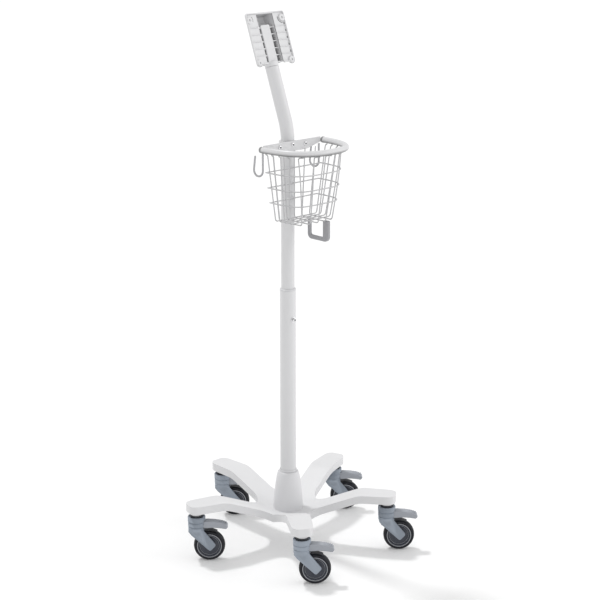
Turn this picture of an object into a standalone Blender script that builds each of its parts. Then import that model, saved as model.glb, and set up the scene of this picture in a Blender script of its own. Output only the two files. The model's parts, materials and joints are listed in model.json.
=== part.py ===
"""Roll stand for a bedside monitor.

A five-legged casting on braking casters carries a telescoping pole. The pole leans back
at its top and ends in a tilted monitor bracket. A wire basket with two cable hooks and a
hanging loop is clamped round the pole below the bend.

Metres, +Z up. The basket faces -Y. Each caster trails towards the same side.
"""

import math

import bmesh
import bpy
from mathutils import Matrix, Vector

MM = 0.001
GAP = 0.3 * MM  # left between pieces that touch
THROUGH = 2 * MM  # how far a cutter runs past the face it opens

# The pole stands a little off the middle of the footprint, because all casters trail one way.
POLE_X = -18.2 * MM
POLE_Y = -6.05 * MM

# Base casting
LEGS = 5
FIRST_LEG = math.radians(18)
LEG_STEP = math.tau / LEGS
HUB_TOP = 90 * MM
PAD_TOP = 142 * MM
LEG_THICKNESS = 19.5 * MM
LEG_HALF_WIDTH = 28 * MM
PAD_HALF_WIDTH = 25.5 * MM
WEB_RADIUS = 42 * MM
HUB_FLAT = 42 * MM  # how far the level middle reaches along each leg
KINK = 176 * MM  # where the rising leg turns level
STEM_CIRCLE = 242 * MM
PAD_END = 263.5 * MM
PAD_ROUNDING = 22 * MM
PAD_BLUNTNESS = 0.72  # under 1 leaves a short flat at the pad's end
BOSS_RADIUS = 14 * MM
BOSS_BOTTOM = 112.4 * MM
STEM_HOLE_RADIUS = 6.3 * MM
STEM_HOLE_TOP = 133 * MM
HUB_BORE_RADIUS = 6.6 * MM

# Casters, measured from the stem axis; the wheel trails along +X
TRAIL_TURN = math.radians(-43.5)
WHEEL_RADIUS = 37.5 * MM
WHEEL_OFFSET = 30 * MM
TYRE_HALF_WIDTH = 11 * MM
CORE_RADIUS = 29.7 * MM
ARM_INNER = 12 * MM
ARM_OUTER = 16.5 * MM
HEAD_RADIUS = 20 * MM
HEAD_TOP = 111 * MM
AXLE_RADIUS = 4 * MM
PEDAL_X = 8 * MM
PEDAL_Z = 90 * MM
PEDAL_HALF_WIDTH = 10.5 * MM

# Pole
LOWER_TUBE_RADIUS = 19.05 * MM
LOWER_TUBE_BORE = 17.45 * MM
LOWER_TUBE_TOP = 645 * MM
UPPER_TUBE_RADIUS = 15.875 * MM
UPPER_TUBE_BORE = 14.2 * MM
UPPER_TUBE_FOOT = 345 * MM
BUSH_OUTER = LOWER_TUBE_BORE - GAP
BUSH_INNER = UPPER_TUBE_RADIUS + GAP
BUSH_FOOT = 550 * MM
LOCK_HEIGHT = 570 * MM
BELL_TOP = 186 * MM
CONE_BULGE = 0.45  # under 1 swells the cone cover's sides
CONE_SPREAD = 1.6  # over 1 crowds its rings towards the top

# The bend under the monitor bracket
BEND_START = 996.5 * MM
BEND_RADIUS = 130 * MM
LEAN = math.radians(20.2)
BRACKET_CENTRE = 184.7 * MM  # the bracket's middle along the leaning stretch
STRAIGHT_TOP = 125.4 * MM  # length of the leaning stretch, up to the bracket's foot
FACE_OFFSET = 19.6 * MM  # the bracket's front face in front of the tube's axis

# Monitor bracket
BRACKET_HALF_WIDTH = 59 * MM
BRACKET_FOOT = -59 * MM  # foot of the spine, where the tube starts
BRACKET_TOP = 66 * MM
WING_FOOT = -54.5 * MM
CHANNEL_FOOT = -51 * MM
HOLE_SPACING = 100 * MM
PLATE_THICKNESS = 5 * MM
CHANNEL_INNER = 25 * MM
CHANNEL_WALL = 3 * MM
CHANNEL_DEPTH = 34 * MM
SPINE_HALF_WIDTH = 14 * MM
SPINE_FACE = 9 * MM  # the spine's face behind the plate's front
SPINE_TOP = 38.5 * MM
STUB_LENGTH = 34 * MM  # the bracket's round stub inside the tube
RIB_PITCH = 16.3 * MM
RIB_COUNT = 6
RIB_THICKNESS = 2.4 * MM
WING_RIB_DROP = 1.2 * MM  # the wings' ribs end this far behind the plate's front
PAN_DEPTH = 3.5 * MM  # the wings are shallow pans between rim and ribs
PAN_RIM = 3 * MM
CORNER_BOSS_RADIUS = 8 * MM
POCKET_INSET = 1 * MM
EAR_RADIUS = BRACKET_HALF_WIDTH - HOLE_SPACING / 2  # round corners hanging below the wings
TOP_ROUNDING = 5 * MM

# Basket
RIM_HEIGHT = 988.5 * MM
RIM_RADIUS = 7 * MM
RIM_HALF_WIDTH = 97.5 * MM
RIM_FRONT = -146 * MM
RIM_REAR = -18 * MM
BASKET_REAR = -25 * MM
BASKET_FLOOR = 818 * MM
WIRE_RADIUS = 1.5 * MM
HOOP_HEIGHTS = (935.6 * MM, 899.5 * MM, 864 * MM)
WIRE_SIDES = 5
WIRE_END = RIM_HEIGHT - RIM_RADIUS - WIRE_RADIUS - GAP  # wires end on the rim's underside
WIRE_NECK = 976.5 * MM  # where the wires turn out towards the rim
LONG_WIRE_STEP = 0.37  # spacing of the front wires as a share of the half width
CROSS_WIRE_SHARES = (0.08, 0.26, 0.46, 0.67)  # places of the side wires, rear to front
FLOOR_HALF_WIDTH = 65 * MM
SIDE_SLOPE = 0.166
FLOOR_FRONT = -103 * MM
FRONT_SLOPE = 0.15
RIM_POWER = 2.6  # superellipse power of the rim's outline
FLOOR_POWER = 5.0  # the outline grows squarer towards the floor
BASKET_SHIFT = -2 * MM  # the basket sits a little to the left of the pole
BAR_FRONT = -19 * MM
BAR_REAR = -16.3 * MM
BAR_HALF_WIDTH = 90 * MM
BAR_TOP = 997 * MM
CLAMP_SCREW_X = 40 * MM
CLAMP_SCREW_Z = 987 * MM
HOOK_LEFT_X = -93.5 * MM
HOOK_RIGHT_X = 84 * MM
LOOP_X = 34.5 * MM
LOOP_THICKNESS = 8 * MM


# ---------------------------------------------------------------- materials

def material(name, colour, roughness, metallic=0.0):
    made = bpy.data.materials.new(name)
    made.use_nodes = True
    shader = made.node_tree.nodes["Principled BSDF"]
    shader.inputs["Base Color"].default_value = (*colour, 1.0)
    shader.inputs["Roughness"].default_value = roughness
    shader.inputs["Metallic"].default_value = metallic
    return made


# ---------------------------------------------------------------- shapes

def closed_mesh(name, points, faces):
    """A mesh with doubled points merged and every face pointing out."""
    mesh = bpy.data.meshes.new(name)
    mesh.from_pydata([tuple(point) for point in points], [], faces)
    work = bmesh.new()
    work.from_mesh(mesh)
    bmesh.ops.remove_doubles(work, verts=work.verts, dist=0.001 * MM)
    bmesh.ops.recalc_face_normals(work, faces=work.faces)
    work.to_mesh(mesh)
    work.free()
    return mesh


def bridged(rings, closed=False):
    """Faces between each ring of point numbers and the next; a ring of one point is a tip."""
    faces = []
    pairs = list(zip(rings, rings[1:]))
    if closed:
        pairs.append((rings[-1], rings[0]))
    for low, high in pairs:
        for k in range(max(len(low), len(high))):
            loop = [low[k % len(low)], low[(k + 1) % len(low)]]
            loop += [high[(k + 1) % len(high)], high[k % len(high)]]
            corners = list(dict.fromkeys(loop))
            if len(corners) > 2:
                faces.append(corners)
    return faces


def numbered(sizes):
    """Runs of point numbers, one run for each ring size."""
    start = 0
    rings = []
    for size in sizes:
        rings.append(list(range(start, start + size)))
        start += size
    return rings


def turned(name, profile, steps, closed=False):
    """A solid turned about Z from (radius, height) pairs, tip to tip or as a closed loop."""
    points = []
    sizes = []
    for radius, height in profile:
        count = steps if radius > 0 else 1
        sizes.append(count)
        for k in range(count):
            angle = math.tau * k / steps
            points.append((radius * math.cos(angle), radius * math.sin(angle), height))
    return closed_mesh(name, points, bridged(numbered(sizes), closed))


def cylinder(name, radius, low, high, steps):
    return turned(name, [(0, low), (radius, low), (radius, high), (0, high)], steps)


def ring(name, inner, outer, low, high, steps):
    profile = [(inner, low), (outer, low), (outer, high), (inner, high)]
    return turned(name, profile, steps, closed=True)


def arc(centre, radius, start, end, steps):
    """Points on a flat arc, with both ends."""
    points = []
    for k in range(steps + 1):
        angle = start + (end - start) * k / steps
        points.append(Vector((centre[0] + radius * math.cos(angle), centre[1] + radius * math.sin(angle))))
    return points


def rounded(corners, radius, steps, closed=True):
    """The corners of a flat or spatial path, each replaced by an arc."""
    corners = [Vector(corner) for corner in corners]
    count = len(corners)
    path = []
    for k, corner in enumerate(corners):
        if not closed and k in (0, count - 1):
            path.append(corner)
            continue
        back = (corners[k - 1] - corner).normalized()
        ahead = (corners[(k + 1) % count] - corner).normalized()
        half = back.angle(ahead) / 2
        reach = radius / math.tan(half)
        middle = corner + (back + ahead).normalized() * radius / math.sin(half)
        start = corner + back * reach - middle
        end = corner + ahead * reach - middle
        sweep = math.pi - 2 * half
        for step in range(steps + 1):
            part = sweep * step / steps
            mix = start * math.sin(sweep - part) + end * math.sin(part)
            path.append(middle + mix / math.sin(sweep))
    return path


def prism(name, outline, low, high, place=Matrix()):
    """A flat outline carried from low to high along the third axis, then placed."""
    points = [place @ Vector((x, y, low)) for x, y in outline]
    points += [place @ Vector((x, y, high)) for x, y in outline]
    rings = numbered([len(outline), len(outline)])
    return closed_mesh(name, points, bridged(rings) + [rings[0], rings[1]])


def box(name, low, high):
    outline = [(low[0], low[1]), (high[0], low[1]), (high[0], high[1]), (low[0], high[1])]
    return prism(name, outline, low[2], high[2])


def circle_section(radius, sides):
    turn = math.tau / sides
    return [(radius * math.cos(turn * k), radius * math.sin(turn * k)) for k in range(sides)]


def swept_rings(path, normal, section, closed):
    """Mitred copies of a section along a flat path; normal is square to the path's plane."""
    path = [Vector(point) for point in path]
    normal = Vector(normal).normalized()
    count = len(path)
    points = []
    for k, point in enumerate(path):
        ahead = (path[(k + 1) % count] - point).normalized()
        back = (point - path[k - 1]).normalized()
        if not closed and k == 0:
            back = ahead
        if not closed and k == count - 1:
            ahead = back
        along = (ahead + back).normalized()
        across = along.cross(normal).normalized() / along.dot(ahead)
        points += [point + normal * u + across * v for u, v in section]
    return points


def swept(name, path, normal, section, closed=False):
    points = swept_rings(path, normal, section, closed)
    rings = numbered([len(section)] * len(path))
    faces = bridged(rings, closed)
    if not closed:
        faces += [rings[0], rings[-1]]
    return closed_mesh(name, points, faces)


def swept_pipe(name, path, normal, outer, inner, sides):
    """A hollow tube along a flat path, open at both ends."""
    points = swept_rings(path, normal, circle_section(outer, sides), False)
    points += swept_rings(path, normal, circle_section(inner, sides), False)
    rings = numbered([sides] * (2 * len(path)))
    loop = rings[: len(path)] + rings[len(path):][::-1]
    return closed_mesh(name, points, bridged(loop, closed=True))


def carved(name, mesh, cuts=(), joins=()):
    """The mesh after its Boolean unions and cuts, as a plain mesh."""
    body = bpy.data.objects.new(name, mesh)
    bpy.context.collection.objects.link(body)
    helpers = [body]
    for operation, tools in (("UNION", joins), ("DIFFERENCE", cuts)):
        for tool in tools:
            helper = bpy.data.objects.new(name + "_tool", tool)
            bpy.context.collection.objects.link(helper)
            helpers.append(helper)
            modifier = body.modifiers.new(name + "_step", "BOOLEAN")
            modifier.operation = operation
            modifier.solver = "EXACT"
            modifier.object = helper
    graph = bpy.context.evaluated_depsgraph_get()
    made = bpy.data.meshes.new_from_object(body.evaluated_get(graph))
    made.name = name
    for helper in helpers:
        bpy.data.objects.remove(helper)
    return made


def moved(mesh, x=0.0, y=0.0, z=0.0, turn=0.0, axis="Z"):
    """A copy of a mesh, turned about an axis and then shifted."""
    copy = mesh.copy()
    copy.transform(Matrix.Translation((x, y, z)) @ Matrix.Rotation(turn, 4, axis))
    return copy


def empty(name, parent, location=(0, 0, 0), rotation=(0, 0, 0)):
    made = bpy.data.objects.new(name, None)
    bpy.context.collection.objects.link(made)
    made.parent = parent
    made.location = location
    made.rotation_euler = rotation
    return made


def node(name, mesh, finish, parent, rotation=(0, 0, 0), smooth=math.radians(35)):
    """One named piece of the object."""
    made = bpy.data.objects.new(name, mesh)
    bpy.context.collection.objects.link(made)
    made.parent = parent
    made.rotation_euler = rotation
    if not mesh.materials:
        mesh.materials.append(finish)
    mesh.shade_smooth()
    mesh.set_sharp_from_angle(angle=smooth)
    return made


# ---------------------------------------------------------------- base

def leg_top(along):
    """Height of the casting's upper face: level hub, rising leg, level pad."""
    rise = (along - HUB_FLAT) / (KINK - HUB_FLAT)
    return HUB_TOP + (PAD_TOP - HUB_TOP) * min(max(rise, 0), 1)


def leg_stations():
    """(distance, half width) pairs along a leg, from the hub's middle to the pad's end."""
    half_step = LEG_STEP / 2
    web_centre = (LEG_HALF_WIDTH + WEB_RADIUS) / math.sin(half_step)
    stations = [(HUB_FLAT, HUB_FLAT * math.tan(half_step))]
    web_steps = 5
    for k in range(web_steps + 1):
        angle = half_step + (math.pi / 2 - half_step) * k / web_steps
        along = web_centre * math.cos(half_step) - WEB_RADIUS * math.cos(angle)
        half = web_centre * math.sin(half_step) - WEB_RADIUS * math.sin(angle)
        stations.append((along, half))
    stations.append((KINK, LEG_HALF_WIDTH))
    end_steps = 6
    for k in range(end_steps + 1):
        angle = math.pi / 2 * k / end_steps
        along = PAD_END - PAD_ROUNDING + PAD_ROUNDING * math.sin(angle)
        half = PAD_HALF_WIDTH - PAD_ROUNDING * (1 - math.cos(angle)) * PAD_BLUNTNESS
        stations.append((along, half))
    return stations


def leg_sector(direction):
    """One fifth of the casting, as points and faces that meet the next fifth's."""
    middle = (0.0, 0.0)
    rows = [(middle, middle, middle)]
    for along, half in leg_stations():
        rows.append(((along, -half), (along, 0.0), (along, half)))
    turn = Matrix.Rotation(direction, 3, "Z")
    points = []
    for row in rows:
        for x, y in row:
            top = leg_top(x)
            points.append(turn @ Vector((x, y, top)))
            points.append(turn @ Vector((x, y, top - LEG_THICKNESS)))
    faces = []
    for k in range(len(rows) - 1):
        near = 6 * k
        far = near + 6
        for side in (0, 2):
            for level in (0, 1):
                low = near + side + level
                high = far + side + level
                faces.append([low, high, high + 2, low + 2])
        if k > 1:
            faces.append([near, near + 1, far + 1, far])
            faces.append([near + 4, near + 5, far + 5, far + 4])
    last = 6 * (len(rows) - 1)
    faces.append([last, last + 1, last + 3, last + 2])
    faces.append([last + 2, last + 3, last + 5, last + 4])
    return points, faces


def base_casting():
    points = []
    faces = []
    for k in range(LEGS):
        more_points, more_faces = leg_sector(FIRST_LEG + k * LEG_STEP)
        start = len(points)
        points += more_points
        faces += [[start + number for number in face] for face in more_faces]
    star = closed_mesh("base_star", points, faces)
    clean = bmesh.new()
    clean.from_mesh(star)
    flat = [face for face in clean.faces if face.calc_area() < 1e-12]
    bmesh.ops.delete(clean, geom=flat, context="FACES")
    clean.to_mesh(star)
    clean.free()
    boss = cylinder("boss", BOSS_RADIUS, BOSS_BOTTOM, PAD_TOP - LEG_THICKNESS + 3 * MM, 20)
    hole = cylinder("stem_hole", STEM_HOLE_RADIUS, BOSS_BOTTOM - THROUGH, STEM_HOLE_TOP, 12)
    bore = cylinder("hub_bore", HUB_BORE_RADIUS, 0, HUB_TOP + THROUGH, 16)
    bosses = []
    holes = [bore]
    for k in range(LEGS):
        direction = FIRST_LEG + k * LEG_STEP
        x = STEM_CIRCLE * math.cos(direction)
        y = STEM_CIRCLE * math.sin(direction)
        bosses.append(moved(boss, x, y))
        holes.append(moved(hole, x, y))
    return carved("base_casting", star, holes, bosses)


def cone_cover():
    """The bell-shaped shell over the pole's foot, open at both ends."""
    wall = 2.2 * MM
    foot = HUB_TOP + GAP
    height = BELL_TOP - foot
    outside = []
    neck = 21.9 * MM
    flare = 14.6 * MM
    steps = 5
    for k in range(steps + 1):
        level = (1 - k / steps) ** CONE_SPREAD
        outside.append((neck + flare * level ** CONE_BULGE, BELL_TOP - height * level))
    inside = [(radius - wall, level) for radius, level in reversed(outside)]
    return turned("base_cone_cover", outside + inside, 24, closed=True)


def build_base(parent, paint, plastic, steel):
    node("base_casting", base_casting(), paint, parent, smooth=math.radians(25))
    node("base_cone_cover", cone_cover(), plastic, parent)
    collar = ring("cone_collar", LOWER_TUBE_RADIUS + GAP, 20.6 * MM, BELL_TOP + GAP, 191 * MM, 24)
    node("cone_collar", collar, plastic, parent)
    plug = ring("tube_foot_plug", 6.3 * MM, LOWER_TUBE_BORE - GAP, 95 * MM, 130 * MM, 24)
    node("tube_foot_plug", plug, steel, parent)
    underside = HUB_TOP - LEG_THICKNESS
    washer = ring("base_washer", 6.6 * MM, 14 * MM, underside - GAP - 2.5 * MM, underside - GAP, 20)
    node("base_washer", washer, steel, parent)
    head_top = underside - 2 * GAP - 2.5 * MM
    shank = cylinder("base_bolt", 6 * MM, head_top - 1 * MM, 125 * MM, 16)
    head = prism("bolt_head", circle_section(10.5 * MM, 6), head_top - 8 * MM, head_top)
    node("base_bolt", carved("base_bolt", shank, joins=[head]), steel, parent)


# ---------------------------------------------------------------- casters

def caster_stem():
    """Threaded stem, top disc and swivel pin in one turned piece."""
    profile = [
        (0, 103.3 * MM),
        (8 * MM, 103.3 * MM),
        (8 * MM, 109 * MM + GAP),
        (17.5 * MM, 109 * MM + GAP),
        (17.5 * MM, BOSS_BOTTOM - GAP),
        (6 * MM, BOSS_BOTTOM - GAP),
        (6 * MM, STEM_HOLE_TOP - 1 * MM),
        (0, STEM_HOLE_TOP - 1 * MM),
    ]
    return turned("caster_stem", profile, 12)


def caster_head():
    """Round head with a seat for the stem's disc."""
    seat = 109 * MM
    bore = 8.3 * MM
    profile = [
        (0, 60 * MM),
        (HEAD_RADIUS - 3 * MM, 60 * MM),
        (HEAD_RADIUS, 66 * MM),
        (HEAD_RADIUS, 97.5 * MM),
        (HEAD_RADIUS + 1 * MM, 98.5 * MM),
        (HEAD_RADIUS + 1 * MM, HEAD_TOP),
        (18 * MM, HEAD_TOP),
        (18 * MM, seat),
        (bore, seat),
        (bore, 103 * MM),
        (0, 103 * MM),
    ]
    return turned("caster_head", profile, 16)


def fork_arm(side):
    """One arm of the fork, from the head down to the axle."""
    corners = [
        (-19 * MM, 86 * MM),
        (-19 * MM, 68 * MM),
        (-12 * MM, 62.5 * MM),
        (32 * MM, 26 * MM),
        (46 * MM, 41.5 * MM),
        (16 * MM, 79 * MM),
        (6 * MM, 86 * MM),
    ]
    upright = Matrix.Rotation(math.pi / 2, 4, "X")
    low, high = sorted((-side * ARM_INNER, -side * ARM_OUTER))
    return prism("fork_arm", rounded(corners, 3 * MM, 2), low, high, upright)


def cross_pin(name, radius, half_length, x, z, steps):
    """A cylinder along Y, centred on the caster's middle plane."""
    pin = cylinder(name, radius, -half_length, half_length, steps)
    return moved(pin, x, 0, z, math.pi / 2, "X")


def fender():
    """Band over the wheel, from the head to the front."""
    inner = WHEEL_RADIUS + 1.6 * MM
    outer = WHEEL_RADIUS + 4.5 * MM
    centre = (WHEEL_OFFSET, WHEEL_RADIUS)
    band = arc(centre, outer, math.radians(40), math.radians(108), 8)
    band += arc(centre, inner, math.radians(108), math.radians(40), 8)
    half = ARM_OUTER - 0.5 * MM
    return prism("fender", band, -half, half, Matrix.Rotation(math.pi / 2, 4, "X"))


def caster_housing():
    wheel_room = cross_pin("wheel_room", WHEEL_RADIUS + 2 * MM, ARM_INNER, WHEEL_OFFSET, WHEEL_RADIUS, 20)
    half = PEDAL_HALF_WIDTH + 0.8 * MM
    window = box("pedal_window", (-1 * MM, -half, 79.5 * MM), (25 * MM, half, 101.5 * MM))
    pivot = cross_pin("pivot_hole", 2.8 * MM, 13.4 * MM, PEDAL_X, PEDAL_Z, 10)
    axle_hole = cross_pin("axle_hole", AXLE_RADIUS + GAP, 15.6 * MM, WHEEL_OFFSET, WHEEL_RADIUS, 16)
    arms = [fork_arm(1), fork_arm(-1), fender()]
    return carved("caster_housing", caster_head(), [wheel_room, window, pivot, axle_hole], arms)


def caster_pedal():
    """Foot lever over the wheel, with two short trunnions; its origin is the pivot."""
    corners = [
        (3 * MM, 95 * MM),
        (12 * MM, 99.5 * MM),
        (40 * MM, 100 * MM),
        (58 * MM, 97.5 * MM),
        (71 * MM, 92.5 * MM),
        (75.5 * MM, 86 * MM),
        (68.5 * MM, 77 * MM),
        (52 * MM, 84.5 * MM),
        (38 * MM, 86.5 * MM),
        (20 * MM, 82 * MM),
        (3 * MM, 85 * MM),
    ]
    shifted = [(x - PEDAL_X, z - PEDAL_Z) for x, z in corners]
    upright = Matrix.Rotation(math.pi / 2, 4, "X")
    outline = rounded(shifted, 1.5 * MM, 1)
    lever = prism("caster_pedal", outline, -PEDAL_HALF_WIDTH, PEDAL_HALF_WIDTH, upright)
    trunnions = cross_pin("trunnions", 2.5 * MM, 13 * MM, 0, 0, 8)
    return carved("caster_pedal", lever, joins=[trunnions])


def wheel_core():
    """Dished plastic wheel centre about Z, with a clearance bore."""
    outer = [
        (AXLE_RADIUS + GAP, -11.5 * MM),
        (9 * MM, -11.5 * MM),
        (11 * MM, -8.5 * MM),
        (CORE_RADIUS, -9.5 * MM),
    ]
    mirrored = [(radius, -level) for radius, level in reversed(outer)]
    return turned("wheel_core", outer + mirrored, 16, closed=True)


def wheel_tyre():
    """Rubber tyre about Z, turned so that it rests on the flat of a facet."""
    steps = 24
    tread = WHEEL_RADIUS / math.cos(math.pi / steps)
    bore = (CORE_RADIUS + GAP) / math.cos(math.pi / steps)
    outer = [
        (bore, -10.3 * MM),
        (35.4 * MM, -TYRE_HALF_WIDTH),
        (tread, -7 * MM),
    ]
    mirrored = [(radius, -level) for radius, level in reversed(outer)]
    return moved(turned("wheel_tyre", outer + mirrored, steps, closed=True), turn=math.pi / steps)


def caster_axle():
    return cylinder("caster_axle", AXLE_RADIUS, -15.3 * MM, 15.3 * MM, 12)


def build_casters(parent, metal, moulding, lever, core, rubber, steel):
    stem = caster_stem()
    housing = caster_housing()
    pedal = caster_pedal()
    wheel = wheel_core()
    tyre = wheel_tyre()
    axle = caster_axle()
    on_axle = (math.pi / 2, 0, 0)
    for k in range(LEGS):
        direction = FIRST_LEG + k * LEG_STEP
        name = f"caster_{k + 1}"
        place = (STEM_CIRCLE * math.cos(direction), STEM_CIRCLE * math.sin(direction), 0)
        swivel = empty(name + "_swivel_line", parent, place, (0, 0, TRAIL_TURN))
        axle_line = empty(name + "_axle_line", swivel, (WHEEL_OFFSET, 0, WHEEL_RADIUS))
        pedal_line = empty(name + "_pedal_line", swivel, (PEDAL_X, 0, PEDAL_Z))
        node(name + "_stem", stem, metal, swivel)
        node(name + "_housing", housing, moulding, swivel)
        node(name + "_pedal", pedal, lever, pedal_line)
        node(name + "_wheel_core", wheel, core, axle_line, on_axle)
        node(name + "_tyre", tyre, rubber, axle_line, on_axle)
        node(name + "_axle", axle, steel, axle_line, on_axle)


# ---------------------------------------------------------------- pole

def radial_pin(name, radius, far, near, height, steps):
    """A cylinder along Y in front of the pole, from y = far to y = near."""
    pin = cylinder(name, radius, -near, -far, steps)
    return moved(pin, 0, 0, height, math.pi / 2, "X")


def build_lower_pole(parent, paint, plastic, chrome):
    tube = ring("lower_tube", LOWER_TUBE_BORE, LOWER_TUBE_RADIUS, HUB_TOP + GAP, LOWER_TUBE_TOP, 32)
    insert_hole = radial_pin("insert_hole", 4.8 * MM, -22 * MM, -10 * MM, LOCK_HEIGHT, 16)
    node("lower_tube", carved("lower_tube", tube, [insert_hole]), paint, parent)
    flange_low = LOWER_TUBE_TOP + GAP
    bush_profile = [
        (BUSH_INNER, BUSH_FOOT),
        (BUSH_OUTER, BUSH_FOOT),
        (BUSH_OUTER, flange_low),
        (LOWER_TUBE_RADIUS + 0.2 * MM, flange_low),
        (LOWER_TUBE_RADIUS - 0.2 * MM, flange_low + 3 * MM),
        (BUSH_INNER, flange_low + 3 * MM),
    ]
    node("height_bush", turned("height_bush", bush_profile, 20, closed=True), plastic, parent)
    insert = radial_pin("lock_insert", 4.5 * MM, -20.6 * MM, BUSH_OUTER * -1 - GAP, LOCK_HEIGHT, 16)
    flange = radial_pin("insert_flange", 6.2 * MM, -20.6 * MM, -19.4 * MM, LOCK_HEIGHT, 16)
    thread_hole = radial_pin("thread_hole", 3.2 * MM, -30 * MM, -10 * MM, LOCK_HEIGHT, 12)
    node("lock_insert", carved("lock_insert", insert, [thread_hole], [flange]), chrome, parent)


def lock_screw():
    """Socket-head set screw about Z, its tip at the foot; its origin is the head's seat."""
    shank = cylinder("lock_screw", 2.9 * MM, 0, 4 * MM, 12)
    head = cylinder("screw_head", 4.4 * MM, 3.5 * MM, 7.5 * MM, 18)
    socket = prism("socket", circle_section(2.3 * MM, 6), 5 * MM, 12 * MM)
    return carved("lock_screw", shank, [socket], [head])


def pole_path():
    """The upper tube's axis: upright, bent back, then straight to the bracket."""
    path = [Vector((0, 0, UPPER_TUBE_FOOT)), Vector((0, 0, BEND_START))]
    steps = 5
    for k in range(1, steps + 1):
        angle = LEAN * k / steps
        back = BEND_RADIUS * (1 - math.cos(angle))
        path.append(Vector((0, back, BEND_START + BEND_RADIUS * math.sin(angle))))
    path.append(path[-1] + leaning() * STRAIGHT_TOP)
    return path


def leaning():
    return Vector((0, math.sin(LEAN), math.cos(LEAN)))


def bracket_frame():
    """Where the monitor bracket's front face has its middle, in the pole's frame."""
    bend_end = pole_path()[-1] - leaning() * STRAIGHT_TOP
    forward = Vector((0, -math.cos(LEAN), math.sin(LEAN)))
    return bend_end + leaning() * BRACKET_CENTRE + forward * FACE_OFFSET


def bracket_matrix():
    return Matrix.Translation(bracket_frame()) @ Matrix.Rotation(-LEAN, 4, "X")


def build_glide(parent, plastic):
    """Cup under the upper tube that slides in the lower one."""
    profile = [
        (13 * MM, UPPER_TUBE_FOOT - 3 * MM),
        (BUSH_OUTER, UPPER_TUBE_FOOT - 3 * MM),
        (BUSH_OUTER, UPPER_TUBE_FOOT + 20 * MM),
        (BUSH_INNER, UPPER_TUBE_FOOT + 20 * MM),
        (BUSH_INNER, UPPER_TUBE_FOOT - GAP),
        (13 * MM, UPPER_TUBE_FOOT - GAP),
    ]
    node("upper_tube_glide", turned("upper_tube_glide", profile, 20, closed=True), plastic, parent)


def head_screw_places():
    """Distances of the two bracket screws from the bracket's middle, along the tube."""
    return {"head_screw_upper": BRACKET_FOOT - 9 * MM, "head_screw_lower": BRACKET_FOOT - 24 * MM}


def upright_cylinder(name, radius, front, back, x, z, steps):
    """A cylinder along local Y from front to back at one place of the bracket."""
    pin = cylinder(name, radius, -back, -front, steps)
    return moved(pin, x, 0, z, math.pi / 2, "X")


def build_upper_pole(parent, paint):
    tube = swept_pipe("upper_tube", pole_path(), (1, 0, 0), UPPER_TUBE_RADIUS, UPPER_TUBE_BORE, 20)
    to_bracket = bracket_matrix()
    cuts = []
    for distance in head_screw_places().values():
        hole = upright_cylinder("tube_hole", 2.8 * MM, 25 * MM, 45 * MM, 0, distance, 12)
        hole.transform(to_bracket)
        cuts.append(hole)
    node("upper_tube", carved("upper_tube", tube, cuts), paint, parent)


# ---------------------------------------------------------------- monitor bracket

def rib_levels():
    """Middles of the cross ribs, upwards from the bracket's foot."""
    return [BRACKET_FOOT + 9.5 * MM + RIB_PITCH * k for k in range(RIB_COUNT)]


def channel_ribs():
    """Cross ribs that tie the spine to the channel's walls."""
    ribs = []
    half = RIB_THICKNESS / 2
    for level in rib_levels():
        low = (-CHANNEL_INNER - 1 * MM, SPINE_FACE + 1 * MM, level - half)
        high = (CHANNEL_INNER + 1 * MM, CHANNEL_DEPTH + 1 * MM, level + half)
        ribs.append(box("channel_rib", low, high))
    return ribs


def wing_pockets(side):
    """A shallow pan in one wing, with deeper pockets between its cross ribs."""
    half = RIB_THICKNESS / 2
    inner = side * (CHANNEL_INNER - 1 * MM)
    outer = side * (BRACKET_HALF_WIDTH - PAN_RIM)
    left, right = sorted((inner, outer))
    foot = WING_FOOT + PAN_RIM
    top = BRACKET_TOP - PAN_RIM
    pockets = [box("pan", (left, -THROUGH, foot), (right, WING_RIB_DROP, top))]
    left, right = sorted((inner, outer - side * POCKET_INSET))
    lows = [foot + POCKET_INSET] + [level + half for level in rib_levels()[1:]]
    highs = [level - half for level in rib_levels()[1:]] + [top - POCKET_INSET]
    for low, high in zip(lows, highs):
        pockets.append(box("pocket", (left, -THROUGH, low), (right, PAN_DEPTH, high)))
    return pockets


def wing_outline():
    """The plate's outline, with a round ear hanging below each lower corner."""
    hole = HOLE_SPACING / 2
    meet = math.asin((-hole - WING_FOOT) / EAR_RADIUS)
    side = BRACKET_HALF_WIDTH - TOP_ROUNDING
    top = BRACKET_TOP - TOP_ROUNDING
    outline = arc((-hole, -hole), EAR_RADIUS, math.pi, math.tau - meet, 9)
    outline += arc((hole, -hole), EAR_RADIUS, math.pi + meet, math.tau, 9)
    outline += arc((side, top), TOP_ROUNDING, 0, math.pi / 2, 3)
    outline += arc((-side, top), TOP_ROUNDING, math.pi / 2, math.pi, 3)
    return outline


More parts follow.
